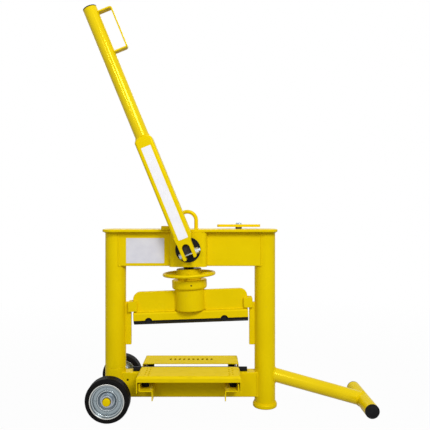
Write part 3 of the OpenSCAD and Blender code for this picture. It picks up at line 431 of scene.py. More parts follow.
def evenly(path, spacing, wrap=False):
    # the same line with points at equal distances along it
    path = np.array(path, float)
    if wrap:
        path = np.vstack([path, path[:1]])
    reach = np.concatenate([[0], np.cumsum(np.linalg.norm(np.diff(path, axis=0), axis=1))])
    count = max(int(round(reach[-1] / spacing)), 3) + 1
    mark = np.linspace(0, reach[-1], count)
    points = np.stack([np.interp(mark, reach, path[:, k]) for k in range(3)], -1)
    return points[:-1] if wrap else points


def bead(path, radius, upright, wrap=False):
    # weld bead: a round section whose radius swells once every pitch and wanders a little,
    # r (1 + 0.09 cos(2 pi s / pitch) + 0.06 sin(0.13 s) sin(0.041 s)), and tapers at open ends
    look = {"pitch": 5.5, "spacing": 1.4, "sides": 10}
    line = evenly(path, look["spacing"], wrap)
    s = np.arange(len(line)) * look["spacing"]
    swell = 1 + 0.09 * np.cos(2 * np.pi * s / look["pitch"]) + 0.06 * np.sin(0.13 * s) * np.sin(0.041 * s)
    if not wrap:
        swell = swell * np.clip(np.minimum(s, s[::-1]) / (1.2 * radius) + 0.35, 0, 1)
    return sweep(line, circle(radius, look["sides"]) * swell[:, None, None], upright, wrap)


def ringLine(radius, where, count=120):
    # circle of that radius about the frame's axis, at its origin
    return put(np.insert(circle(radius, count), 2, 0, 1), where)


def hexHead(acrossFlats, height, where):
    # hexagon r = (af / 2) / cos(a), a measured from the middle of its side, cut by a cone at the top
    angle = np.linspace(0, 2 * np.pi, 72, endpoint=False)
    side = (acrossFlats / 2) / np.cos((angle % (np.pi / 3)) - np.pi / 6)
    level = height * np.array([0.0, 0.06, 0.5, 0.72, 0.82, 0.9, 0.96, 1.0])[:, None]
    cone = acrossFlats / 2 * 0.94 + (height - level) * 1.7
    radius = np.minimum(side, cone)
    radius[0] *= 0.985
    return skin(put(turned(radius, level, len(angle)), where))


def evenFlats(made):
    # normals follow the larger face, so a flat beside a rounded edge stays flat
    flats = made.modifiers.new("flats", "WEIGHTED_NORMAL")
    flats.weight = 90
    flats.keep_sharp = True


def piece(name, shapes, finish=yellowPaint, body="frame", replaced=None, sharp=38):
    # one mesh from all shapes, in metres, with outward faces and creases kept above the sharp angle;
    # leverBox stands for the node lever_box, if there is one and nothing else is given
    points = np.concatenate([shape[0] for shape in shapes])
    start = np.cumsum([0] + [len(shape[0]) for shape in shapes[:-1]])
    faces = np.concatenate([shape[1] + first for shape, first in zip(shapes, start)]).tolist()
    faces += [[v + int(first) for v in end] for shape, first in zip(shapes, start) for end in shape[2]]
    mesh = bpy.data.meshes.new(name)
    mesh.from_pydata((points * millimetre + (midX, 0, 0)).tolist(), [], faces)
    work = bmesh.new()
    work.from_mesh(mesh)
    bmesh.ops.recalc_face_normals(work, faces=work.faces)
    work.to_mesh(mesh)
    work.free()
    mesh.shade_smooth()
    mesh.set_sharp_from_angle(angle=math.radians(sharp))
    mesh.materials.append(finish)
    made = bpy.data.objects.new(name, mesh)
    bpy.context.scene.collection.objects.link(made)
    evenFlats(made)
    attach(made, body)
    sameName = "".join("_" + letter.lower() if letter.isupper() else letter for letter in name)
    if replaced is None:
        replaced = [sameName] if sameName in nodes else []
    if replaced:
        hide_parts(*replaced)
    return made


def drill(target, shapes):
    # holes: the shapes are taken out of a finished piece
    cutter = piece(target.name + "Cutter", shapes, target.data.materials[0], "frame")
    target.modifiers.clear()
    cut = target.modifiers.new("holes", "BOOLEAN")
    cut.operation = "DIFFERENCE"
    cut.solver = "EXACT"
    cut.object = cutter
    bpy.context.view_layer.update()
    result = bpy.data.meshes.new_from_object(target.evaluated_get(bpy.context.evaluated_depsgraph_get()))
    target.modifiers.clear()
    target.data = result
    evenFlats(target)
    bpy.data.objects.remove(cutter)


def paintNode(name, finish, edge):
    # a CAD node that stays: its finish, and a small round on its edges
    node = nodes[name]
    node.data.materials.clear()
    node.data.materials.append(finish)
    if edge:
        node.modifiers.new("join", "WELD").merge_threshold = 1e-6
        flat = node.modifiers.new("flat", "DECIMATE")
        flat.decimate_type = "DISSOLVE"
        flat.angle_limit = math.radians(1.5)
        soft = node.modifiers.new("edge", "BEVEL")
        soft.width = edge * millimetre
        soft.segments = 2
        soft.limit_method = "ANGLE"
        soft.angle_limit = math.radians(40)
        soft.harden_normals = True


# Camera, light and floor

view = {"place": (midX + 0.0804, -1.95, 0.723), "focalPixels": 526.5, "photoPixels": 430.0,
        "sensor": 36.0, "vanishing": (212.0, 210.6)}
camera = bpy.data.objects.new("camera", bpy.data.cameras.new("camera"))
camera.data.sensor_width = view["sensor"]
camera.data.lens = view["focalPixels"] * view["sensor"] / view["photoPixels"]
camera.location = view["place"]
camera.rotation_euler = (math.radians(90), 0, 0)
# lines along the depth meet a little up and left of the picture's middle
camera.data.shift_x = 0.5 - view["vanishing"][0] / view["photoPixels"]
camera.data.shift_y = view["vanishing"][1] / view["photoPixels"] - 0.5
bpy.context.scene.collection.objects.link(camera)
bpy.context.scene.camera = camera
bpy.context.scene.view_settings.view_transform = "Standard"

lamps = {
    "keyLamp": {"place": (1.0, -2.8, 2.5), "size": (1.0, 1.0), "watts": 73},
    "frontLamp": {"place": (-1.1, -3.0, 1.8), "size": (0.5, 0.4), "watts": 13},
    "topLamp": {"place": (0.2, 0.3, 4.6), "size": (2.4, 1.8), "watts": 10},
    "backLamp": {"place": (-1.0, 4.2, 3.0), "size": (2.4, 1.8), "watts": 30},
}
aim = np.array([midX, 0, 0.5])
for name, lamp in lamps.items():
    light = bpy.data.lights.new(name, "AREA")
    light.shape = "RECTANGLE"
    light.size, light.size_y = lamp["size"]
    light.energy = lamp["watts"]
    holder = bpy.data.objects.new(name, light)
    axes = frameAlong((0, 0, 0), np.array(lamp["place"]) - aim, (1, 0.001, 0))[1]
    holder.matrix_world = Matrix.Translation(lamp["place"]) @ Matrix(axes.T.tolist()).to_4x4()
    bpy.context.scene.collection.objects.link(holder)

surround = {"ambient": 0.42, "backdrop": 1.0, "floorGlow": 0.975, "floorShade": 0.32, "floorHalf": 14.0,
            "fadeFrom": 0.9, "fadeTo": 2.6}
world = bpy.data.worlds.new("studio")
bpy.context.scene.world = world
sky = Patch(world)
white = (1, 1, 1, 1)
ambient, backdrop = [sky.add("ShaderNodeBackground", None, {"Color": white, "Strength": surround[part]})
                     for part in ("ambient", "backdrop")]
sky.show("World Output", sky.seenDirectly(), ambient, backdrop)

half = surround["floorHalf"]
floorMesh = bpy.data.meshes.new("floor")
floorMesh.from_pydata([(-half, -half, 0), (half, -half, 0), (half, half, 0), (-half, half, 0)], [],
                      [(0, 1, 2, 3)])
floor = bpy.data.objects.new("floor", floorMesh)
bpy.context.scene.collection.objects.link(floor)
ground = Finish("paleFloor", Base_Color=(*[surround["floorShade"]] * 3, 1), Roughness=0.9,
                Specular_IOR_Level=0.0)
glow = ground.add("ShaderNodeEmission", None, {"Strength": surround["backdrop"]})
# near the object the floor keeps its shadow, further out it fades into the backdrop
away = ground.add("ShaderNodeVectorMath", {"operation": "LENGTH"}, {0: ground.place}, "Value")
fade = ground.remap(away, surround["fadeFrom"], surround["fadeTo"], surround["floorGlow"], 1.0)
ground.show("Material Output", ground.seenDirectly() * fade, Link(ground, ground.shader.outputs[0]), glow)
floorMesh.materials.append(ground.material)
print("camera, lamps and floor set")


# Frame

upright = frameAlong((0, 0, 0), zAxis)
columns = {"x": 276.0, "radius": 38.05, "wall": 4.0, "postWall": 8.0, "seam": 149.0, "seamEdge": 1.9,
           "top": 645.0, "footTop": 16.0, "footEdge": 1.0}
plate = {"half": (320.0, 60.0), "corner": 38.0, "low": 645.0, "high": 655.0, "edge": 2.6}
beam = {"low": 521.0, "high": 645.0, "halfDepth": 35.0, "corner": 3.0, "wall": 5.0}
housing = {"left": -74.0, "right": 62.0, "halfDepth": 60.0, "low": 520.0, "corner": 18.0, "wall": 8.0,
           "face": 14.0, "innerCorner": 10.0}
base = {"low": 41.0, "high": 131.0, "halfDepth": 25.0, "corner": 3.0, "wall": 5.0,
        "drain": (-228.0, 104.0), "drainRadius": 4.25}


def onColumn(side, gap=0.0):
    # X of a column's surface, on the side that faces the middle, at the depth of each outline point
    return lambda line: side * (columns["x"] - np.sqrt((columns["radius"] + gap) ** 2 - line[:, 0] ** 2))


def level(value):
    return lambda line: np.full(len(line), value)


def hollow(part):
    # outer and inner outline (y, z) of a box section
    y, low, high, wall = part["halfDepth"], part["low"], part["high"], part["wall"]
    return (rectangle(-y, low, y, high, part["corner"]),
            rectangle(wall - y, low + wall, y - wall, high - wall, part["corner"] / 2))


plateOutline = rectangle(-plate["half"][0], -plate["half"][1], *plate["half"], plate["corner"], 12)
piece("topPlate", [prism(plateOutline, plate["low"], plate["high"], plate["edge"], upright)])

leftFoot, rightFoot = [frameAlong((side * columns["x"], 0, 0), zAxis) for side in (-1, 1)]
for name, stand, wall, low, high, edge in (
        ("leftColumn", leftFoot, "wall", columns["seam"], columns["top"], "seamEdge"),
        ("rightColumn", rightFoot, "wall", columns["footTop"], columns["top"], "footEdge"),
        ("axlePost", leftFoot, "postWall", base["low"], columns["seam"], "seamEdge")):
    bore = columns["radius"] - columns[wall]
    piece(name, [pipe(columns["radius"], bore, low, high, stand, columns[edge])])

for name, first, last in (("leftCrossBeam", onColumn(-1), level(housing["left"] + 1)),
                          ("rightCrossBeam", level(housing["right"] - 1), onColumn(1))):
    piece(name, [tunnel(*hollow(beam), first, last, "x")])

left, right, depth = housing["left"], housing["right"], housing["halfDepth"]
room = depth - housing["face"]
housingOuter = rectangle(left, -depth, right, depth, housing["corner"], 8)
housingInner = rectangle(left + housing["wall"], -room, right - housing["wall"], room,
                         housing["innerCorner"], 8)
piece("shaftHousing", [tunnel(housingOuter, housingInner, level(housing["low"]), level(beam["high"]), "z")])

baseBeam = piece("baseBeam", [tunnel(*hollow(base), onColumn(-1), onColumn(1), "x")])
drainPlace = frameAlong((base["drain"][0], -base["halfDepth"] - 2, base["drain"][1]), yAxis)
drill(baseBeam, [rod(base["drainRadius"], 0, 12, drainPlace, (0, 0), 0.2, 24)])

foot = {"radius": 44.5, "height": 16.0, "rounds": (5.0, 5.0)}
piece("rightFoot", [rod(foot["radius"], 0, foot["height"], rightFoot, foot["rounds"], 0.5, 96, 6)])

rails = {"inner": 217.95, "outer": 241.0, "halfDepth": 8.0, "low": 229.0, "high": 386.0, "edge": 1.4,
         "corner": 1.6}
for side, name in ((-1, "leftGuideRail"), (1, "rightGuideRail")):
    x0, x1 = sorted((side * rails["inner"], side * rails["outer"]))
    bar = rectangle(x0, -rails["halfDepth"], x1, rails["halfDepth"], rails["corner"], 4)
    piece(name, [prism(bar, rails["low"], rails["high"], rails["edge"], upright)])


def bladeOutline(part, rounds):
    # six-sided section: a bar from its root to the shoulder, then two slopes to a narrow land at the edge
    right = np.array(pointsOf(part, "half root", "half shoulder", "land edge"))
    left = (right * (-1, 1))[::-1]
    return rounded(np.vstack([left[-1:], right, left[:-1]]), rounds, 3)


lowBlade = {"half": 10.0, "root": 131.0, "shoulder": 138.25, "edge": 145.5, "land": 2.5, "reach": 210.0,
            "rim": 0.6}
lowBladeLine = bladeOutline(lowBlade, 0.9)
alongX = frameAlong((0, 0, 0), xAxis, yAxis)
piece("lowerBlade", [prism(lowBladeLine, -lowBlade["reach"], lowBlade["reach"], lowBlade["rim"], alongX)],
      blackSteel)
print("frame pieces made")


# Table brackets and buffers

bracket = {"leg": 125.0, "inside": 129.0, "back": 170.0, "front": 174.0, "low": 63.5, "under": 95.5,
           "ledge": 99.5, "top": 123.5, "near": 25.0, "far": 130.0, "bend": 6.0, "edge": 0.7}
bracketLine = rounded(pointsOf(bracket, "leg low", "inside low", "inside under", "front under", "front top",
                               "back top", "back ledge", "leg ledge"),
                      [0.9, 0.9, 2, bracket["bend"]] * 2, 5)
bracketShapes = []
for sideX in (-1, 1):
    for sideY in (-1, 1):
        corner = (np.zeros(3), np.array([sideX * xAxis, zAxis, sideY * yAxis]))
        bracketShapes.append(prism(bracketLine, bracket["near"], bracket["far"], bracket["edge"], corner))
piece("tableBrackets", bracketShapes)

# buffers: r = R - waist (2 h - 1)^4 - rib cos(10 pi h)^2, h from 0 to 1 up the buffer
buffer = {"x": 155.0, "y": 80.0, "low": 99.5, "high": 147.8, "radius": 13.5, "waist": 1.3, "rib": 0.35,
          "sink": 8.0}
tall = buffer["high"] - buffer["low"]
height = np.linspace(0, 1, 25)
bulge = buffer["radius"] - buffer["waist"] * (2 * height - 1) ** 4
bulge -= buffer["rib"] * np.cos(10 * np.pi * height) ** 2
bufferLine = np.stack([bulge, buffer["low"] + tall * height], -1)
bufferLine = np.vstack([(0.5, buffer["low"]), bufferLine, (0.5, buffer["high"])])
for sideY, end in ((-1, "front"), (1, "rear")):
    stands = [frameAlong((sideX * buffer["x"], sideY * buffer["y"], 0), zAxis) for sideX in (-1, 1)]
    shapes = [lathe(bufferLine, stand, 40, solid=True) for stand in stands]
    soft = piece(end + "Buffers", shapes, bufferRubber)
    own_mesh(soft)
print("table supports made")


# T-shaped foot

tee = {"rootZ": 126.0, "x": 637.0, "radius": 25.5, "wall": 3.2, "halfSpan": 121.0, "cap": 4.0}
reach = tee["x"] - columns["x"]
slope = math.atan2(tee["rootZ"] - tee["radius"], reach)
footLength = reach / math.cos(slope)
down, over = tilted(-math.degrees(slope))
teeRoot = np.array([columns["x"], 0, tee["rootZ"]])


def footPoints(radius, angle, share):
    # points a share of the way down the sloping tube; at angle a it leaves the column, of radius R, at
    # s = (sqrt(R^2 - (r cos a)^2) - r sin a sin(slope)) / cos(slope)
    # and meets the cross tube, of radius T, at s = L - sqrt(T^2 - (r sin a)^2)
    width, rise = radius * np.cos(angle), radius * np.sin(angle)
    start = (np.sqrt(columns["radius"] ** 2 - width ** 2) - rise * math.sin(slope)) / math.cos(slope)
    end = footLength - np.sqrt(np.maximum(tee["radius"] ** 2 - rise ** 2, 0))
    s = start + (end - start) * share
    return teeRoot + s[..., None] * down + width[:, None] * yAxis + rise[:, None] * over


around = np.linspace(0, 2 * np.pi, 96, endpoint=False)
steps = np.linspace(0, 1, 13)[:, None]
stabiliserRows = np.concatenate([footPoints(tee["radius"], around, steps),
                                 footPoints(tee["radius"] - tee["wall"], around, steps[::-1])])
piece("stabiliserTube", [skin(stabiliserRows, wrap=True)], tubePaint)
crossFrame = frameAlong((tee["x"], 0, tee["radius"]), yAxis)
piece("footCrossTube", [pipe(tee["radius"], tee["radius"] - tee["wall"], -tee["halfSpan"],
                             tee["halfSpan"], crossFrame)])


def tubeCap(radius, thickness, where):
    # moulded end cap: rounded rim, shallow dish and a small centre mark
    line = rounded([(0.4, -9), (radius - 4, -9), (radius - 4, 0), (radius, 0), (radius, thickness),
                    (radius - 3.5, thickness), (radius - 4.5, thickness - 0.7), (2.2, thickness - 0.7),
                    (1.6, thickness - 0.2), (0.4, thickness - 0.2)],
                   [0, 1, 0, 0.4, 1.6, 0.5, 0.4, 0.2, 0.2, 0], 4)
    return lathe(line, where, 72, solid=True)


capShapes = []
for side in (-1, 1):
    tip = frameAlong((tee["x"], side * tee["halfSpan"], tee["radius"]), side * yAxis)
    capShapes.append(tubeCap(tee["radius"], tee["cap"], tip))
piece("footEndCaps", capShapes, blackPlastic)
print("foot made")


# Fittings on the top plate

loop = {"x": -11.0, "bar": 7.25, "bend": 32.75, "leg": 31.0}
loopArc = arc(loop["bend"], np.pi, 0, 49) + (loop["x"], plate["high"] + loop["leg"])
loopEnds = [(x, plate["high"] - 1) for x in (loop["x"] - loop["bend"], loop["x"] + loop["bend"])]
loopPath = np.insert(np.vstack([loopEnds[0], loopArc, loopEnds[1]]), 1, 0, 1)
piece("liftingLoop", [sweep(evenly(loopPath, 3.0), circle(loop["bar"], 32), yAxis)])

stopLow, stopHigh = [(np.array(corner) - (midX, 0, 0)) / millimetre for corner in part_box("lever_stop")]
stop = {"radius": (stopHigh[2] - stopLow[2]) / 2, "chamfers": (1.5, 1.5)}
stopFrame = frameAlong((0, *(stopLow + stopHigh)[1:] / 2), xAxis, yAxis)
piece("leverStop", [rod(stop["radius"], stopLow[0], stopHigh[0], stopFrame, stop["chamfers"], 0.5, 48, 4)])

swivel = {"x": 180.0, "y": 20.0, "low": 662.0, "high": 671.5, "half": (80.5, 12.5), "end": 11.5,
          "edge": 1.3, "spacer": 12.0, "bore": 6.05, "flats": 18.96, "head": 6.6}
swivelFrame = frameAlong((swivel["x"], swivel["y"], 0), zAxis)
swivelLine = rectangle(-swivel["half"][0], -swivel["half"][1], *swivel["half"], swivel["end"], 10)
piece("swivelBar", [prism(swivelLine, swivel["low"], swivel["high"], swivel["edge"], swivelFrame)],
      yellowPaint, "swivel")
piece("swivelSpacer", [pipe(swivel["spacer"], swivel["bore"], plate["high"], swivel["low"], swivelFrame,
                            0.8, 48)], darkSpacer)
headFrame = lifted(swivelFrame, swivel["high"])
piece("swivelBolt", [hexHead(swivel["flats"], swivel["head"], headFrame)], zincPlate)

shaft = {"x": -6.0, "z": 582.4, "journal": 22.6, "flange": 45.5, "flangeRear": 38.0, "thick": 4.0}
thick = shaft["thick"]
for side, name, flange in ((-1, "frontBearing", "flange"), (1, "rearBearing", "flangeRear")):
    radius = shaft[flange]
    seat = frameAlong((shaft["x"], side * housing["halfDepth"], shaft["z"]), side * yAxis)
    line = rounded([(shaft["journal"], -10), (radius - 6, -10), (radius - 6, 0), (radius, 0),
                    (radius, thick), (radius - 4, thick), (radius - 5, thick - 0.8),
                    (radius - 8, thick - 0.8), (radius - 9, thick), (shaft["journal"], thick)],
                   [0, 0, 0, 0.2, 1.2, 0.4, 0.3, 0.3, 0.4, 1.0], 4)
    piece(name, [lathe(line, seat)], blackOxide)
retainer = {"back": 64.3, "thick": 6.0, "radius": 31.0, "bore": 6.05, "flats": 18.96, "head": 7.2}
rearEnd = frameAlong((shaft["x"], retainer["back"], shaft["z"]), yAxis)
piece("shaftRetainer", [pipe(retainer["radius"], retainer["bore"], 0, retainer["thick"], rearEnd,
                             sides=72)], zincPlate, "lever")
screwEnd = lifted(rearEnd, retainer["thick"])
piece("retainerScrew", [hexHead(retainer["flats"], retainer["head"], screwEnd)], zincPlate, "lever")
print("top fittings made")


# Wheels

wheel = {"x": -276.0, "z": 76.0, "inner": 121.0, "rivetRing": 41.0, "rivet": 3.0, "rivets": 4}
tyreLine = rounded([(60.05, 0.6), (62.5, 0), (66, 0), (67, 0.8), (76, 1.2), (76, 25), (75.4, 25.6),
                    (75.4, 26.4), (76, 27), (76, 50.8), (67, 51.2), (66, 52), (62.5, 52), (60.05, 51.4)],
                   [0.3, 0.6, 0.6, 0.4, 9.0, 0.3, 0.3, 0.3, 0.3, 9.0, 0.4, 0.6, 0.6, 0.3], 7)
# pressed rim: lip, outer step, dish with a raised ring and a bowl round the hub; the back is 3 mm behind
rimFront = [(60, 50.6), (57, 51.4), (55.2, 49.6), (54.6, 44.4), (50.6, 44), (48.6, 38.6), (45.5, 38),
            (36.6, 38), (35, 40), (32.6, 40), (31, 37.4), (25.5, 33.6), (20, 33.6)]
rimBack = [(20, 30.6), (26.5, 30.6), (32, 34.4), (45, 35), (46.5, 35.6), (49, 41), (54, 41), (57, 38),
           (57, 1.5), (60, 1.0)]
rimLine = rounded(rimFront + rimBack, [0.8, 0.9, 0.8, 1.4, 1.4, 1.4, 1.4, 0.8, 0.8, 0.8, 1.2, 2.5, 0.5,
                                       0.5, 2, 1, 1, 1, 1, 1, 1, 0.6, 0.6], 4)
rimZinc = makeRimWithPaintedShade()
hubLine = rounded([(15.13, 0), (20, 0), (20, 49), (19, 50), (15.13, 50)], [0.4, 0.8, 0.4, 0.4, 0.4], 3)
capLine = rounded([(0.4, 50.3), (13.5, 50.3), (13.5, 57.2), (11.5, 59.4), (5, 60), (0.4, 60)],
                  [0, 0.4, 1.0, 1.5, 2, 0], 4)
rivetLine = [(0.2, 37), (wheel["rivet"], 37), (wheel["rivet"], 38.4), (0.85 * wheel["rivet"], 39.2),
             (0.5 * wheel["rivet"], 39.7), (0.2, 39.8)]
capShapes = []
for side, end in ((-1, "front"), (1, "rear")):
    hub = frameAlong((wheel["x"], side * wheel["inner"], wheel["z"]), side * yAxis)
    piece(end + "Tyre", [lathe(tyreLine, hub, 144)], tyreRubber, end + "_wheel")
    shapes = [lathe(rimLine, hub, 120), lathe(hubLine, hub, 72)]
    spots = ringLine(wheel["rivetRing"], hub, wheel["rivets"])
    shapes += [lathe(rivetLine, (spot, hub[1]), 20, solid=True) for spot in spots]
    piece(end + "Rim", shapes, rimZinc, end + "_wheel")
    capShapes.append(lathe(capLine, hub, 48, solid=True))
piece("axleCaps", capShapes)
print("wheels made")


# Lever

lever = {"angle": 22.25, "shift": 4.5, "back": -66.0, "front": -130.0, "mid": -98.0}
acrossLever, alongLever = tilted(lever["angle"])
shaftPoint = np.array([shaft["x"], 0, shaft["z"]])
leverFlat = (shaftPoint, np.array([acrossLever, alongLever, yAxis]))   # (p, u, y)
leverAxis = shaftPoint + lever["shift"] * acrossLever + lever["mid"] * yAxis
leverStand = (leverAxis, np.array([acrossLever, yAxis, alongLever]))   # section (p, y), u along the lever

box = {"half": 32.0, "corner": 8.0, "start": 60.0, "end": 414.0, "top": 430.0, "tube": 25.0}
boxLeft, boxRight = lever["shift"] - box["half"], lever["shift"] + box["half"]
fork = {"half": 25.0, "slot": 13.55, "tine": 30.0, "arch": 11.0, "neck": 27.5, "side": 52.0, "top": 60.5,
        "edge": 2.2}
archLine = arc(fork["slot"], np.pi, 0, 17) + (0, fork["arch"])
forkCorners = [(fork["slot"], -fork["tine"]), (fork["half"], -fork["tine"]), (fork["half"], fork["neck"]),
               (boxRight, fork["side"]), (boxRight, fork["top"]), (boxLeft, fork["top"]),
               (boxLeft, fork["side"]), (-fork["half"], fork["neck"]), (-fork["half"], -fork["tine"]),
               (-fork["slot"], -fork["tine"])]
forkRounds = [2.4, 6, 14, 6, 2.3, 2.3, 6, 14, 6, 2.4] + [0] * len(archLine)
forkLine = rounded(np.vstack([forkCorners, archLine]), forkRounds)
piece("leverFork", [prism(forkLine, lever["front"], lever["back"], fork["edge"], leverFlat, 4)],
      yellowPaint, "lever")

rise = np.concatenate([[box["start"], box["end"] - 1.5], np.linspace(box["end"], box["top"], 9)])
taper = np.clip((rise - box["end"]) / (box["top"] - box["end"]), 0, 1)
halfWidth = box["half"] + (box["tube"] - box["half"]) * taper
cornerRadius = box["corner"] + (box["tube"] - 0.3 - box["corner"]) * taper ** 1.6
boxRows = np.stack([np.insert(rectangle(-w, -w, w, w, r, 8), 2, u, 1)
                    for w, r, u in zip(halfWidth, cornerRadius, rise)])
piece("leverBox", [skin(put(boxRows, leverStand))], yellowPaint, "lever", sharp=24)

tube = {"radius": 25.0, "wall": 3.2, "start": 430.0, "end": 916.0, "cap": 4.0}
piece("leverTube", [pipe(tube["radius"], tube["radius"] - tube["wall"], tube["start"] - 1, tube["end"],
                         leverStand, 0.8)], tubePaint, "lever")
tubeTop = lifted(leverStand, tube["end"])
piece("leverEndCap", [tubeCap(tube["radius"], tube["cap"], tubeTop)], blackPlastic, "lever")

grip = {"low": 739.5, "high": 895.5, "reach": 74.0, "width": 28.0, "thick": 5.5, "bend": 9.0}
inset = grip["thick"] / 2
root, tip = tube["radius"] - 1.5, grip["reach"] - inset
low, high = grip["low"] + inset, grip["high"] - inset
gripLine = rounded([(root, low), (tip, low), (tip, high), (root, high)],
                   [0, grip["bend"] - inset, grip["bend"] - inset, 0], 8)
gripPath = put(np.insert(gripLine, 1, 0, 1), leverStand)
gripSection = rectangle(-inset, -grip["width"] / 2, inset, grip["width"] / 2, 1.2, 3)
piece("gripHandle", [sweep(evenly(gripPath, 1.5), gripSection, yAxis)], yellowPaint, "lever")

clamp = {"drop": 12.0, "bolt": 6.0, "flats": 18.96, "flange": 12.0, "flangeThick": 2.5, "head": 7.8,
         "nut": 9.6, "tail": 19.2}
boltPoint = shaftPoint - clamp["drop"] * alongLever + lever["mid"] * yAxis
for side, name, tall in ((-1, "forkBolt", clamp["head"]), (1, "forkNut", clamp["nut"])):
    outwards = frameAlong(boltPoint + side * fork["half"] * acrossLever, side * acrossLever, alongLever)
    shapes = [pipe(clamp["flange"], 4.0, 0, clamp["flangeThick"], outwards, 0.9, 48),
              hexHead(clamp["flats"], tall, lifted(outwards, clamp["flangeThick"]))]
    if side < 0:
        tail = -2 * fork["half"] - clamp["tail"]
        shapes.append(rod(clamp["bolt"], tail, 2, outwards, (1.2, 0), sides=32))
    piece(name, shapes, zincPlate, "lever")

# the shaft's tongue lies in the fork's slot, down to the bolt; behind it run the journal, two collars
# and the cam
cam = {"journal": 22.5, "radius": 33.5, "throw": 10.0, "half": 25.0, "collar": 28.0, "collarOut": 45.7}
tongue = {"half": 13.5, "arch": 9.0, "front": -112.0, "back": -65.0, "edge": 1.3, "mark": 2.5,
          "markDepth": 5.0}
tongueArc = arc(tongue["half"], np.pi, 0, 17) + (0, tongue["arch"])
tongueLine = np.vstack([tongueArc, [(tongue["half"], -clamp["drop"]), (-tongue["half"], -clamp["drop"])]])
shaftAlong = frameAlong(shaftPoint, yAxis)
camAlong = frameAlong(shaftPoint + cam["throw"] * zAxis, yAxis)
tongueBar = prism(tongueLine, tongue["front"], tongue["back"], tongue["edge"], leverFlat)
shaftTongue = piece("shaftTongue", [tongueBar], shaftSteel, "lever", ["eccentric_shaft"])
markPlace = lifted(shaftAlong, tongue["front"] - 1)
markLine = [(0.2, 0), (tongue["mark"], 0), (tongue["mark"], 3), (0.2, tongue["markDepth"])]
boltAlong = frameAlong(boltPoint, acrossLever)
drill(shaftTongue, [lathe(markLine, markPlace, 28, solid=True),
                    rod(clamp["bolt"] + 0.1, -fork["half"], fork["half"], boltAlong)])
piece("eccentricShaft", [rod(cam["journal"], tongue["back"], retainer["back"], shaftAlong),
                         rod(cam["collar"], -cam["collarOut"], -cam["half"] - 0.3, shaftAlong),
                         rod(cam["collar"], cam["half"] + 0.3, cam["collarOut"], shaftAlong),
                         rod(cam["radius"], -cam["half"], cam["half"], camAlong)],
      shaftSteel, "lever", ())
print("lever made")


# Hanging spindle, hub and hand ring

hang = {"tilt": 2.1, "pinZ": 535.0}
acrossSpindle, alongSpindle = tilted(hang["tilt"])
pinPoint = np.array([shaft["x"], 0, hang["pinZ"]])
spindleStand = (pinPoint, np.array([acrossSpindle, yAxis, alongSpindle]))   # (x, y, z from the pin)
spindleFlat = (pinPoint, np.array([acrossSpindle, alongSpindle, yAxis]))    # (x, z, y)

thread = {"crest": 20.0, "depth": 2.6, "lead": 12.0, "starts": 2, "low": -164.0, "high": -18.0,
          "eye": 14.0, "eyeHalf": 12.0}
# thread: r falls from the crest to the root with the phase starts * (z / lead + a / 2 pi),
# as a flattened wave
threadZ = np.linspace(thread["low"], thread["high"], 260)[:, None]
threadA = np.linspace(0, 2 * np.pi, 72, endpoint=False)
phase = 2 * np.pi * thread["starts"] * (threadZ / thread["lead"] + threadA / (2 * np.pi))
groove = np.clip(0.5 + 0.9 * np.cos(phase), 0, 1)
ends = np.clip(np.minimum(threadZ - thread["low"], thread["high"] - threadZ) / 2.0, 0, 1)
threadR = thread["crest"] - thread["depth"] * groove - 1.5 * (1 - ends)
threadRows = turned(threadR, threadZ, len(threadA))
eyeLine = np.vstack([arc(thread["eye"], 0, np.pi, 25),
                     [(-thread["eye"], thread["high"] - 1), (thread["eye"], thread["high"] - 1)]])
piece("spindle", [skin(put(threadRows, spindleStand)),
                  prism(eyeLine, -thread["eyeHalf"], thread["eyeHalf"], 0.8, spindleFlat)],
      blackOxide, "hanging_spindle", sharp=50)

hubRing = {"radius": 46.0, "top": -26.0, "low": -61.5, "neck": 42.0, "collarTop": -71.3, "collar": 53.0,
           "collarLow": -75.3, "nut": 40.0, "nutLow": -131.3, "bore": 20.1}
hubProfile = rounded(pointsOf(hubRing, "bore top", "radius top", "radius low", "neck low", "neck collarTop",
                              "collar collarTop", "collar collarLow", "nut collarLow", "nut nutLow",
                              "bore nutLow"), [1.5, 2.5, 1.5, 1.0, 0.3, 0.5, 0.5, 0.5, 0.5, 0.5], 4)
piece("adjusterHub", [lathe(hubProfile, spindleStand)], yellowPaint, "adjuster")
hand = {"mean": 92.0, "bar": 6.0, "spoke": 5.0, "z": -46.0, "root": 45.0, "middle": 68.0, "spokes": 4,
        "weld": 2.2}
handFrame = lifted(spindleStand, hand["z"])
handShapes = [lathe(circle(hand["bar"], 24) + (hand["mean"], 0), handFrame, 128)]
for outwards in np.insert(circle(1, hand["spokes"]), 2, 0, 1):
    line = put(np.outer((hand["root"], hand["middle"], hand["mean"]), outwards), handFrame)
    handShapes.append(sweep(line, circle(hand["spoke"], 20), alongSpindle))
    ahead = line[1] - line[0]
    joint = frameAlong(line[0] + ahead * 0.06, ahead, alongSpindle)
    seam = ringLine(hand["spoke"] + 0.6, joint, 40)
    handShapes.append(bead(seam, hand["weld"], joint[1][2], wrap=True))
piece("handRing", handShapes, yellowPaint, "adjuster")
print("spindle and hand ring made")


# Socket, carrier and upper blade

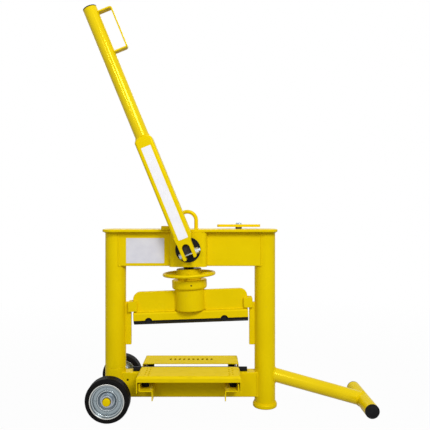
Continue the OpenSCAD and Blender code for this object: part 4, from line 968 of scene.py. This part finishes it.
socket = {"radius": 55.0, "inner": 47.0, "pole": 0.5, "top": -77.6, "low": -179.1, "floor": -171.1}
cap = {"bore": 42.3, "seat": 55.05, "radius": 64.5, "top": -66.0, "under": -71.0, "low": -100.0,
       "round": 9.0, "screwZ": -82.1, "screw": 3.05, "screwTurn": 8.0}
capRing = rounded(pointsOf(cap, "bore top", "radius top", "radius low", "seat low", "seat under",
                           "bore under"), [1, 3.5, cap["round"], 0.2, 0.3, 0.3], 6)
socketCap = piece("socketCap", [lathe(capRing, spindleStand)], yellowPaint, "blade_carrier")
screwTurn = math.radians(cap["screwTurn"])
screwAway = np.array([math.sin(screwTurn), -math.cos(screwTurn), 0])
screwStart = put((cap["radius"] + 2) * screwAway + cap["screwZ"] * zAxis, spindleStand)
screwHole = frameAlong(screwStart, -screwAway @ spindleStand[1])
drill(socketCap, [rod(cap["screw"], 0, 14, screwHole, (0, 0), 0.2, 28)])
socketLine = rounded(pointsOf(socket, "pole low", "radius low", "radius top", "inner top", "inner floor",
                              "pole floor"), [0, 5, 0.5, 0.5, 2, 0], 6)
piece("socketTube", [lathe(socketLine, spindleStand, solid=True)], yellowPaint, "blade_carrier")

carrier = {"left": -209.95, "right": 211.95, "inner": 50.0, "top": -105.5, "low": -190.6, "half": 10.0,
           "corner": 27.0, "edge": 3.2}
carrierShapes = []
for end in (carrier["left"], carrier["right"]):
    near = math.copysign(carrier["inner"], end)
    line = rounded([(near, carrier["low"]), (end, carrier["low"]), (end, carrier["top"]),
                    (near, carrier["top"])], [3.4, 3.4, carrier["corner"], 3.4], 8)
    carrierShapes.append(prism(line, -carrier["half"], carrier["half"], carrier["edge"], spindleFlat, 5))
piece("carrierPlate", carrierShapes, yellowPaint, "blade_carrier")

holderBar = {"top": -179.1, "low": -209.6, "near": 10.0, "far": 22.0, "topRound": 8.0, "edge": 1.4,
             "bolts": (-154.0, 124.0), "boltZ": -213.6, "notch": 14.0}
spread = math.acos((holderBar["low"] - holderBar["boltZ"]) / holderBar["notch"])
notch = arc(holderBar["notch"], np.pi / 2 + spread, np.pi / 2 - spread, 15)
notches = [notch + (x, holderBar["boltZ"]) for x in holderBar["bolts"]]
topEdge = rounded([(carrier["right"], holderBar["low"]), (carrier["right"], holderBar["top"]),
                   (carrier["left"], holderBar["top"]), (carrier["left"], holderBar["low"])],
                  [1.5, 3, 3, 1.5], 4)
holderLine = np.vstack([topEdge, *notches])
holderEdge = np.where(holderLine[:, 1] > holderBar["top"] - 0.5, holderBar["topRound"], holderBar["edge"])
bothFaces = [(pinPoint, np.array([acrossSpindle, alongSpindle, side * yAxis])) for side in (-1, 1)]
holderShapes = [prism(holderLine, holderBar["near"], holderBar["far"], holderEdge, flat, 6)
                for flat in bothFaces]
piece("bladeHolder", holderShapes, yellowPaint, "blade_carrier", sharp=30)

blade = {"half": 14.0, "root": -190.6, "shoulder": -218.1, "edge": -226.6, "land": 2.5, "rim": 0.6,
         "bolt": 15.8, "boltHead": 6.0}
bladeLine = bladeOutline(blade, [0.6, 0.6, 1.2, 0.8, 0.8, 1.2])
bladeStand = (pinPoint, np.array([yAxis, alongSpindle, acrossSpindle]))   # section (y, z), along x
piece("upperBlade", [prism(bladeLine, carrier["left"], carrier["right"], blade["rim"], bladeStand)],
      blackSteel, "blade_carrier")
boltShapes = []
for x in holderBar["bolts"]:
    spot = put(np.array([x, -blade["half"], holderBar["boltZ"]]), spindleStand)
    boltShapes.append(hexHead(blade["bolt"], blade["boltHead"], frameAlong(spot, -yAxis, acrossSpindle)))
piece("bladeBolts", boltShapes, blackOxide, "blade_carrier")

lug = {"onPlate": 15.0, "past": 18.0, "low": -175.6, "high": -138.6, "near": 10.0, "far": 22.0,
       "corner": 3.0, "edge": 1.6}
lugShapes = []
for end in (carrier["left"], carrier["right"]):
    side = math.copysign(1, end)
    x0, x1 = sorted((end - side * lug["onPlate"], end + side * lug["past"]))
    outline = rectangle(x0, lug["low"], x1, lug["high"], lug["corner"], 4)
    lugShapes += [prism(outline, lug["near"], lug["far"], lug["edge"], flat) for flat in bothFaces]
piece("guideLugs", lugShapes, yellowPaint, "blade_carrier")
print("carrier and blade made")


# CAD nodes that stay

for name, finish, edge in (
        ("front_table", tablePaint, 0), ("rear_table", tablePaint, 0), ("wheel_axle", zincPlate, 0.8),
        ("front_wheel_bush", blackPlastic, 0.4), ("rear_wheel_bush", blackPlastic, 0.4),
        ("shaft_yoke", machinedSteel, 0.8), ("pivot_pin", machinedSteel, 0.8),
        ("cap_screw", blackOxide, 0.3), ("thrust_washer", machinedSteel, 0.3)):
    paintNode(name, finish, edge)
print("carried-over nodes finished")


# Raised nubs on the front table half: domes h = H (1 - (r / R)^2), two staggered rows near each end

nub = {"radius": 3.6, "height": 2.4, "x": (141.0, 153.0), "y": (-35.0, -56.0, -77.0, -98.0, -119.0),
       "stagger": 10.0, "top": 150.8}
domeR = np.linspace(1, 0.04, 7)
domeLine = np.stack([nub["radius"] * domeR, nub["height"] * (1 - domeR ** 2)], -1)
domeLine = np.vstack([(nub["radius"], -0.6), domeLine])
nubPlaces = [(side * x, y + row * nub["stagger"], nub["top"])
             for side in (-1, 1) for row, x in enumerate(nub["x"]) for y in nub["y"][row:]]
nubShapes = [lathe(domeLine, frameAlong(place, zAxis), 20, solid=True) for place in nubPlaces]
# the nubs take the darker coat, which is painted shade
piece("tableNubs", nubShapes, nubPaint, "front_table_half")
print("table nubs made")


# Weld beads

beadSize = {"plate": 3.0, "beam": 2.8, "housing": 2.4, "flush": 1.7, "rail": 2.0, "foot": 3.2, "tee": 3.0,
            "loop": 2.3, "stop": 2.0, "bracket": 1.8, "grip": 1.7, "shoulder": 1.3, "lug": 1.9,
            "socket": 2.6, "holder": 3.4}


def weld(size, path, along, wrap=False):
    beads.append(bead(path, beadSize[size], along, wrap))


beads = []
for stand in (leftFoot, rightFoot):
    atPlate = lifted(stand, columns["top"] - 0.6)
    weld("plate", ringLine(columns["radius"] + 0.6, atPlate), zAxis, wrap=True)
railX = columns["x"] - math.sqrt(columns["radius"] ** 2 - rails["halfDepth"] ** 2)
for side in (-1, 1):
    for part in (beam, base):
        loopLine = hollow(part)[0]
        weld("beam", np.insert(loopLine, 0, onColumn(side, 0.5)(loopLine), 1), xAxis, wrap=True)
    for depth in (-1, 1):
        for size, x, y, low, high in (
                ("rail", railX, rails["halfDepth"], rails["low"] + 3, rails["high"] - 3),
                ("bracket", bracket["leg"], base["halfDepth"], bracket["low"] + 2, bracket["under"])):
            weld(size, [(side * x, depth * (y + 0.3), z) for z in (low, high)], xAxis)
for x in (housing["left"], housing["right"]):
    for depth in (-1, 1):
        y = depth * (beam["halfDepth"] + 0.4)
        weld("housing", [(x, y, beam["low"] + 3), (x, y, beam["high"])], xAxis)
for depth in (-1, 1):
    y = depth * (housing["halfDepth"] - 0.9)
    weld("flush", [(housing["left"] + housing["corner"], y, plate["low"]),
                   (housing["right"] - housing["corner"], y, plate["low"])], zAxis)
weld("foot", ringLine(columns["radius"] + 0.8, lifted(rightFoot, foot["height"])), zAxis, wrap=True)
for share in (0.0, 1.0):
    joint = footPoints(tee["radius"] + 0.4, around, np.full((1, 1), share))[0]
    # the bead under the tee stays clear of the ground
    joint[:, 2] = np.maximum(joint[:, 2], 1.2 * beadSize["tee"])
    weld("tee", joint, down, wrap=True)
for x in (loop["x"] - loop["bend"], loop["x"] + loop["bend"]):
    loopFoot = frameAlong((x, 0, plate["high"] + 0.6), zAxis)
    weld("loop", ringLine(loop["bar"] + 0.4, loopFoot, 60), zAxis, wrap=True)
for depth in (-1, 1):
    y = (stopLow + stopHigh)[1] / 2 + depth * 0.62 * stop["radius"]
    weld("stop", [(x, y, plate["high"] + 0.4) for x in (stopLow[0] + 4, stopHigh[0] - 4)], zAxis)
piece("frameWelds", beads, sharp=60)

beads = []
tubeFoot = lifted(leverStand, tube["start"])
weld("shoulder", ringLine(tube["radius"] + 0.3, tubeFoot), alongLever, wrap=True)
across = np.linspace(-grip["width"] / 2 + 1.5, grip["width"] / 2 - 1.5, 15)
for u in (grip["low"], grip["low"] + grip["thick"], grip["high"] - grip["thick"], grip["high"]):
    seat = np.stack([np.sqrt(tube["radius"] ** 2 - across ** 2) + 0.3, across, np.full(15, u)], -1)
    weld("grip", put(seat, leverStand), alongLever)
piece("leverWelds", beads, yellowPaint, "lever", sharp=60)

beads = []
lift = holderBar["top"] + 0.4
for depth in (-1, 1):
    for end in (carrier["left"], carrier["right"]):
        side = math.copysign(1, end)
        y = depth * (carrier["half"] + 0.4)
        inner, outer = end - side * (lug["onPlate"] + 0.3), end - side * 2
        x = side * math.sqrt(socket["radius"] ** 2 - carrier["half"] ** 2)
        for size, seat, along in (
                ("lug", [(outer, y, lug["low"]), (inner, y, lug["low"]), (inner, y, lug["high"]),
                         (outer, y, lug["high"])], yAxis),
                ("socket", [(x, y, holderBar["top"] + 2), (x, y, carrier["top"] - 3)], acrossSpindle),
                ("holder", [(end - side * 4, y, lift), (side * (socket["radius"] + 1), y, lift)], yAxis)):
            weld(size, put(np.array(seat), spindleStand), along)
piece("carrierWelds", beads, yellowPaint, "blade_carrier", sharp=60)
print("weld beads made")


# Blank labels

label = {"half": 17.5, "low": 44.0, "high": 389.0, "thick": 0.35, "sunk": 0.2, "edge": 0.15,
         "corner": 2.0}
sign = {"left": -232.0, "right": -93.5, "low": 532.0, "high": 623.0}
beamFlat = (np.zeros(3), np.array([xAxis, zAxis, yAxis]))
left, right = lever["shift"] - label["half"], lever["shift"] + label["half"]
for name, corners, face, flat, finish, body in (
        ("leverLabel", (left, label["low"], right, label["high"]), lever["front"], leverFlat,
         leverLabel, "lever"),
        ("beamLabel", (sign["left"], sign["low"], sign["right"], sign["high"]), -beam["halfDepth"],
         beamFlat, beamLabel, "frame")):
    line = rectangle(*corners, label["corner"], 4)
    film = prism(line, face - label["thick"], face + label["sunk"], label["edge"], flat)
    piece(name, [film], finish, body)
print("labels made")
